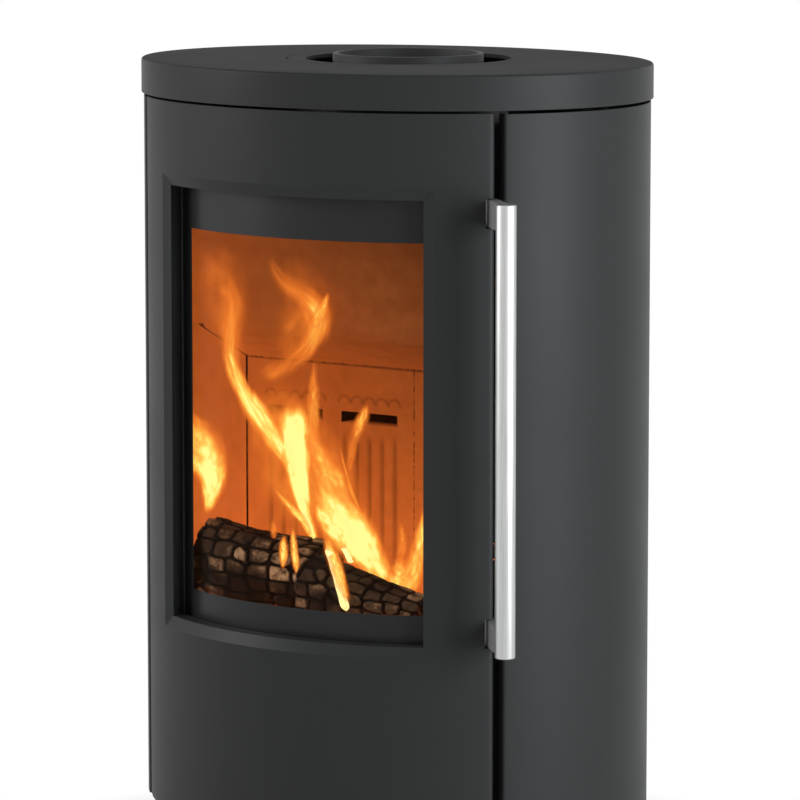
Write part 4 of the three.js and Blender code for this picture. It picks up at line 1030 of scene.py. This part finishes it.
def fire():
    """Flames as the photo shows them, from the back of the fire to its front; high ones lean to the glass."""
    tongue("haze", (44, 16), (345, 555, 60, 0.1), (325, 505, 120, 0.46), (298, 460, 130, 0.52),
           (280, 410, 96, 0.36), (270, 372, 60, 0.12))
    tongue("haze_left", (-14, -34), (238, 372, 30, 0.2), (230, 335, 50, 0.32), (224, 295, 64, 0.32),
           (216, 262, 60, 0.24), (208, 236, 44, 0.08))
    tongue("haze_high", (-66, -74), (272, 362, 50, 0.1), (296, 335, 70, 0.3), (306, 308, 76, 0.32),
           (296, 280, 60, 0.22), (284, 252, 40, 0.06))
    tongue("flame_curl", (-46, -76), (250, 386, 26, 0.14), (268, 376, 30, 0.32), (290, 363, 28, 0.38),
           (308, 346, 28, 0.52), (317, 326, 33, 0.76), (315, 310, 38, 0.74), (304, 298, 32, 0.44),
           (290, 288, 25, 0.36), (279, 275, 20, 0.28), (272, 258, 13, 0.24), (270, 244, 6, 0.05))
    tongue("flame_curl_tip", (-72, -74), (313, 329, 16, 0.5), (320, 314, 17, 0.72), (326, 301, 10, 0.6),
           (329, 289, 4, 0.1))
    tongue("flame_tall", (0, -34), (297, 482, 14, 0.5), (287, 458, 24, 0.85), (275, 438, 30, 0.95),
           (259, 416, 30, 1.0), (245, 393, 24, 0.95), (235, 371, 21, 0.85), (230, 350, 21, 0.62),
           (232, 325, 27, 0.46), (234, 302, 30, 0.4), (230, 283, 23, 0.28), (221, 262, 10, 0.05))
    tongue("flame_right", (10, 10), (349, 479, 4, 0.2), (351, 460, 12, 0.4), (354, 440, 17, 0.42),
           (360, 425, 19, 0.6), (365, 412, 14, 0.62), (368, 400, 5, 0.3))
    tongue("flame_upright", (2, 2), (312, 455, 14, 0.4), (313, 425, 19, 0.55), (313, 402, 19, 0.55),
           (314, 382, 14, 0.42), (315, 364, 9, 0.25), (315, 350, 4, 0.05))
    tongue("flame_centre", (-4, -4), (320, 553, 6, 0.6), (313, 535, 13, 1.0), (305, 510, 20, 1.25),
           (300, 487, 28, 1.45), (298, 464, 36, 1.5), (296, 441, 43, 1.45), (295, 422, 46, 1.2),
           (296, 406, 43, 0.75), (297, 396, 32, 0.2))
    tongue("flame_spike", (-6, -6), (312, 538, 8, 0.7), (302, 519, 12, 0.9), (293, 510, 12, 0.85),
           (283, 499, 9, 0.6), (276, 490, 5, 0.4), (271, 481, 2, 0.1))
    tongue("flame_veil", (-12, -12), (352, 512, 34, 0.4), (338, 490, 42, 0.7), (326, 470, 38, 0.72),
           (317, 450, 30, 0.56), (312, 430, 20, 0.3), (310, 412, 8, 0.05))
    tongue("flame_thread", (-14, -14), (362, 515, 5, 0.5), (353, 495, 6, 0.6), (347, 476, 5, 0.5),
           (342, 456, 4, 0.4), (339, 440, 2, 0.1))
    tongue("flame_diagonal", (-22, -22), (396, 590, 6, 0.6), (382, 571, 28, 1.0), (367, 551, 50, 1.2),
           (351, 532, 60, 1.25), (337, 513, 54, 1.05), (328, 494, 40, 0.72), (321, 476, 26, 0.42),
           (315, 458, 10, 0.1))
    tongue("flame_bulge", (-26, -26), (352, 547, 28, 0.7), (341, 534, 34, 1.05), (328, 520, 28, 1.05),
           (320, 508, 17, 0.75), (316, 497, 5, 0.2))
    tongue("flame_peak_one", (-20, -20), (378, 562, 16, 0.7), (375, 544, 15, 0.55), (371, 530, 9, 0.45),
           (369, 518, 3, 0.1))
    tongue("flame_peak_two", (-20, -20), (398, 566, 14, 0.3), (402, 547, 15, 0.46), (402, 532, 11, 0.42),
           (401, 518, 4, 0.1))
    tongue("flame_corner", (-26, -26), (398, 598, 12, 0.6), (408, 583, 32, 0.8), (416, 560, 28, 0.74),
           (421, 537, 19, 0.8), (424, 515, 11, 0.55), (425, 500, 4, 0.1))
    tongue("flame_corner_low", (-28, -28), (388, 594, 16, 0.5), (398, 580, 34, 0.85), (400, 566, 26, 0.6),
           (396, 554, 9, 0.15))
    tongue("flame_left", (0, 6), (205, 519, 6, 0.5), (211, 500, 22, 1.0), (213, 480, 36, 1.15),
           (208, 460, 50, 1.1), (201, 443, 54, 0.8), (195, 428, 42, 0.6), (191, 414, 22, 0.4),
           (189, 402, 7, 0.1))
    tongue("flame_small_one", (-52, -52), (283, 570, 4, 0.4), (284, 556, 12, 0.9), (284, 545, 11, 0.85),
           (285, 533, 3, 0.15))
    tongue("flame_small_two", (-52, -52), (298, 578, 3, 0.3), (296, 562, 10, 0.85), (294, 548, 10, 0.85),
           (293, 534, 7, 0.6), (293, 523, 2, 0.1))
    tongue("flame_small_three", (-50, -50), (274, 540, 6, 0.3), (274, 529, 11, 0.5), (273, 517, 4, 0.1))
    tongue("flame_splinter", (-124, -118), (349, 604, 8, 0.5), (341, 580, 17, 0.8), (334, 560, 18, 0.85),
           (328, 543, 14, 0.6), (324, 530, 5, 0.1))
    splinter("hot_splinter_one", -120, (328, 547), (347, 611), 8.0)
    splinter("hot_splinter_two", -116, (343, 548), (352, 563), 5.5)


# ---------- stage, light ----------
def plain_stage():
    """Pale floor: a flat disc of straight spokes, (r cos t, r sin t, 0), that stays clear of every view."""
    turn = full_turn(96)
    radius = np.array([0.0, 300.0, 1200.0, FLOOR_RADIUS])
    grid = points(radius * np.cos(turn), radius * np.sin(turn), 0.0)
    mesh = bpy.data.meshes.new("pale_floor")
    mesh.from_pydata((grid.reshape(-1, 3) * MM).tolist(), [], quads(*grid.shape[:2], around=True).tolist())
    tidy(mesh, (0, 0, -1000))
    mesh.materials.append(stage_finish())
    put("pale_floor", mesh)


def seen_white(t):
    """One where a surface is seen by the camera, in a gloss or through glass, and nought where it lights."""
    path = t.add("ShaderNodeLightPath")
    rays = [path["Is %s Ray" % kind] for kind in ("Camera", "Glossy", "Transmission")]
    return t.math("MAXIMUM", *rays)


def stage_finish():
    """Matt pale floor, plain white where it is seen or mirrored, with the shadow kept near by."""
    t = Finish("pale_floor")
    white = t.add("ShaderNodeEmission", {"Color": (1, 1, 1, 1), "Strength": 1.0})[0]
    away = t.add("ShaderNodeVectorMath", {0: t.place}, operation="LENGTH")["Value"]
    shown = t.math("MULTIPLY", seen_white(t), t.scaled(away, 0.26, 0.48, 0.25, 1.0))
    out = t.add("ShaderNodeMixShader", {0: shown, 1: t.shader.outputs[0], 2: white})[0]
    t.fill(t.tree.nodes["Material Output"], {"Surface": out})
    return t.done({"Base Color": (0.86, 0.86, 0.86, 1), "Roughness": 0.9})


def lamp(name, place, size, power, color=(1, 1, 1)):
    """Rectangular soft lamp that faces the stove's middle; places in metres."""
    data = bpy.data.lights.new(name, "AREA")
    data.shape = "RECTANGLE"
    data.size, data.size_y = size
    data.energy = power
    data.color = color
    obj = put(name, data)
    obj.location = place
    x, y, z = np.array([0, 0, LAMP_AIM]) - place
    obj.rotation_euler = (math.atan2(math.hypot(x, y), -z), 0, math.atan2(-x, y))


def studio():
    """Even surroundings with two soft lamps, at a level where colours come out as they are written."""
    world = bpy.data.worlds.new("studio")
    world.use_nodes = True
    t = Tree(world.node_tree)
    soft = t.add("ShaderNodeBackground", {"Color": (0.97, 0.98, 1.0, 1), "Strength": 0.22})[0]
    white = t.add("ShaderNodeBackground", {"Color": (1, 1, 1, 1), "Strength": 1.0})[0]
    out = t.add("ShaderNodeMixShader", {0: seen_white(t), 1: soft, 2: white})[0]
    t.fill(t.tree.nodes["World Output"], {"Surface": out})
    bpy.context.scene.world = world
    lamp("lamp_left", (-2.8, -2.2, 1.6), (1.4, 1.6), 70)
    lamp("lamp_right", (2.45, -0.3, 0.8), (1.3, 1.7), 72, (0.92, 0.96, 1.0))


# ---------- the scene ----------
photo_camera()
for node, obj in frame["nodes"].items():
    obj.data.materials.clear()
    obj.data.materials.append(FINISHES[SLOT_BY_NODE[node]])

plinth()
for word, side in SIDES.items():
    side_shell("side_shell_" + word, side, "side_panel_" + word)
back_shell()
top_cover()
top_lid()
flue()
door_skin()
window_pane()
printed_border()
grip()
for word, side in SIDES.items():
    ribbed_plate("ribbed_plate_" + word, side, "back_plate_" + word)
baffle()
burnt_log("burnt_log_back", "log_back", (-166.5, -72, 309), 42, (-34, -64, 303), 36, (17, 6), 3, 0.9, 0.2)
burnt_log("burnt_log_front", "log_front", (-26, -99, 301), 33, (105, -108, 287), 20, (13, 7), 5, 0.45)
ember_heap()
fire()

MADE_BY_HAND = {node for obj in bpy.data.objects for node in obj.get("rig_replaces", [])}
for node in sorted(set(frame["nodes"]) - MADE_BY_HAND):
    finished_copy(node)

plain_stage()
studio()
bpy.context.scene.view_settings.view_transform = "Standard"
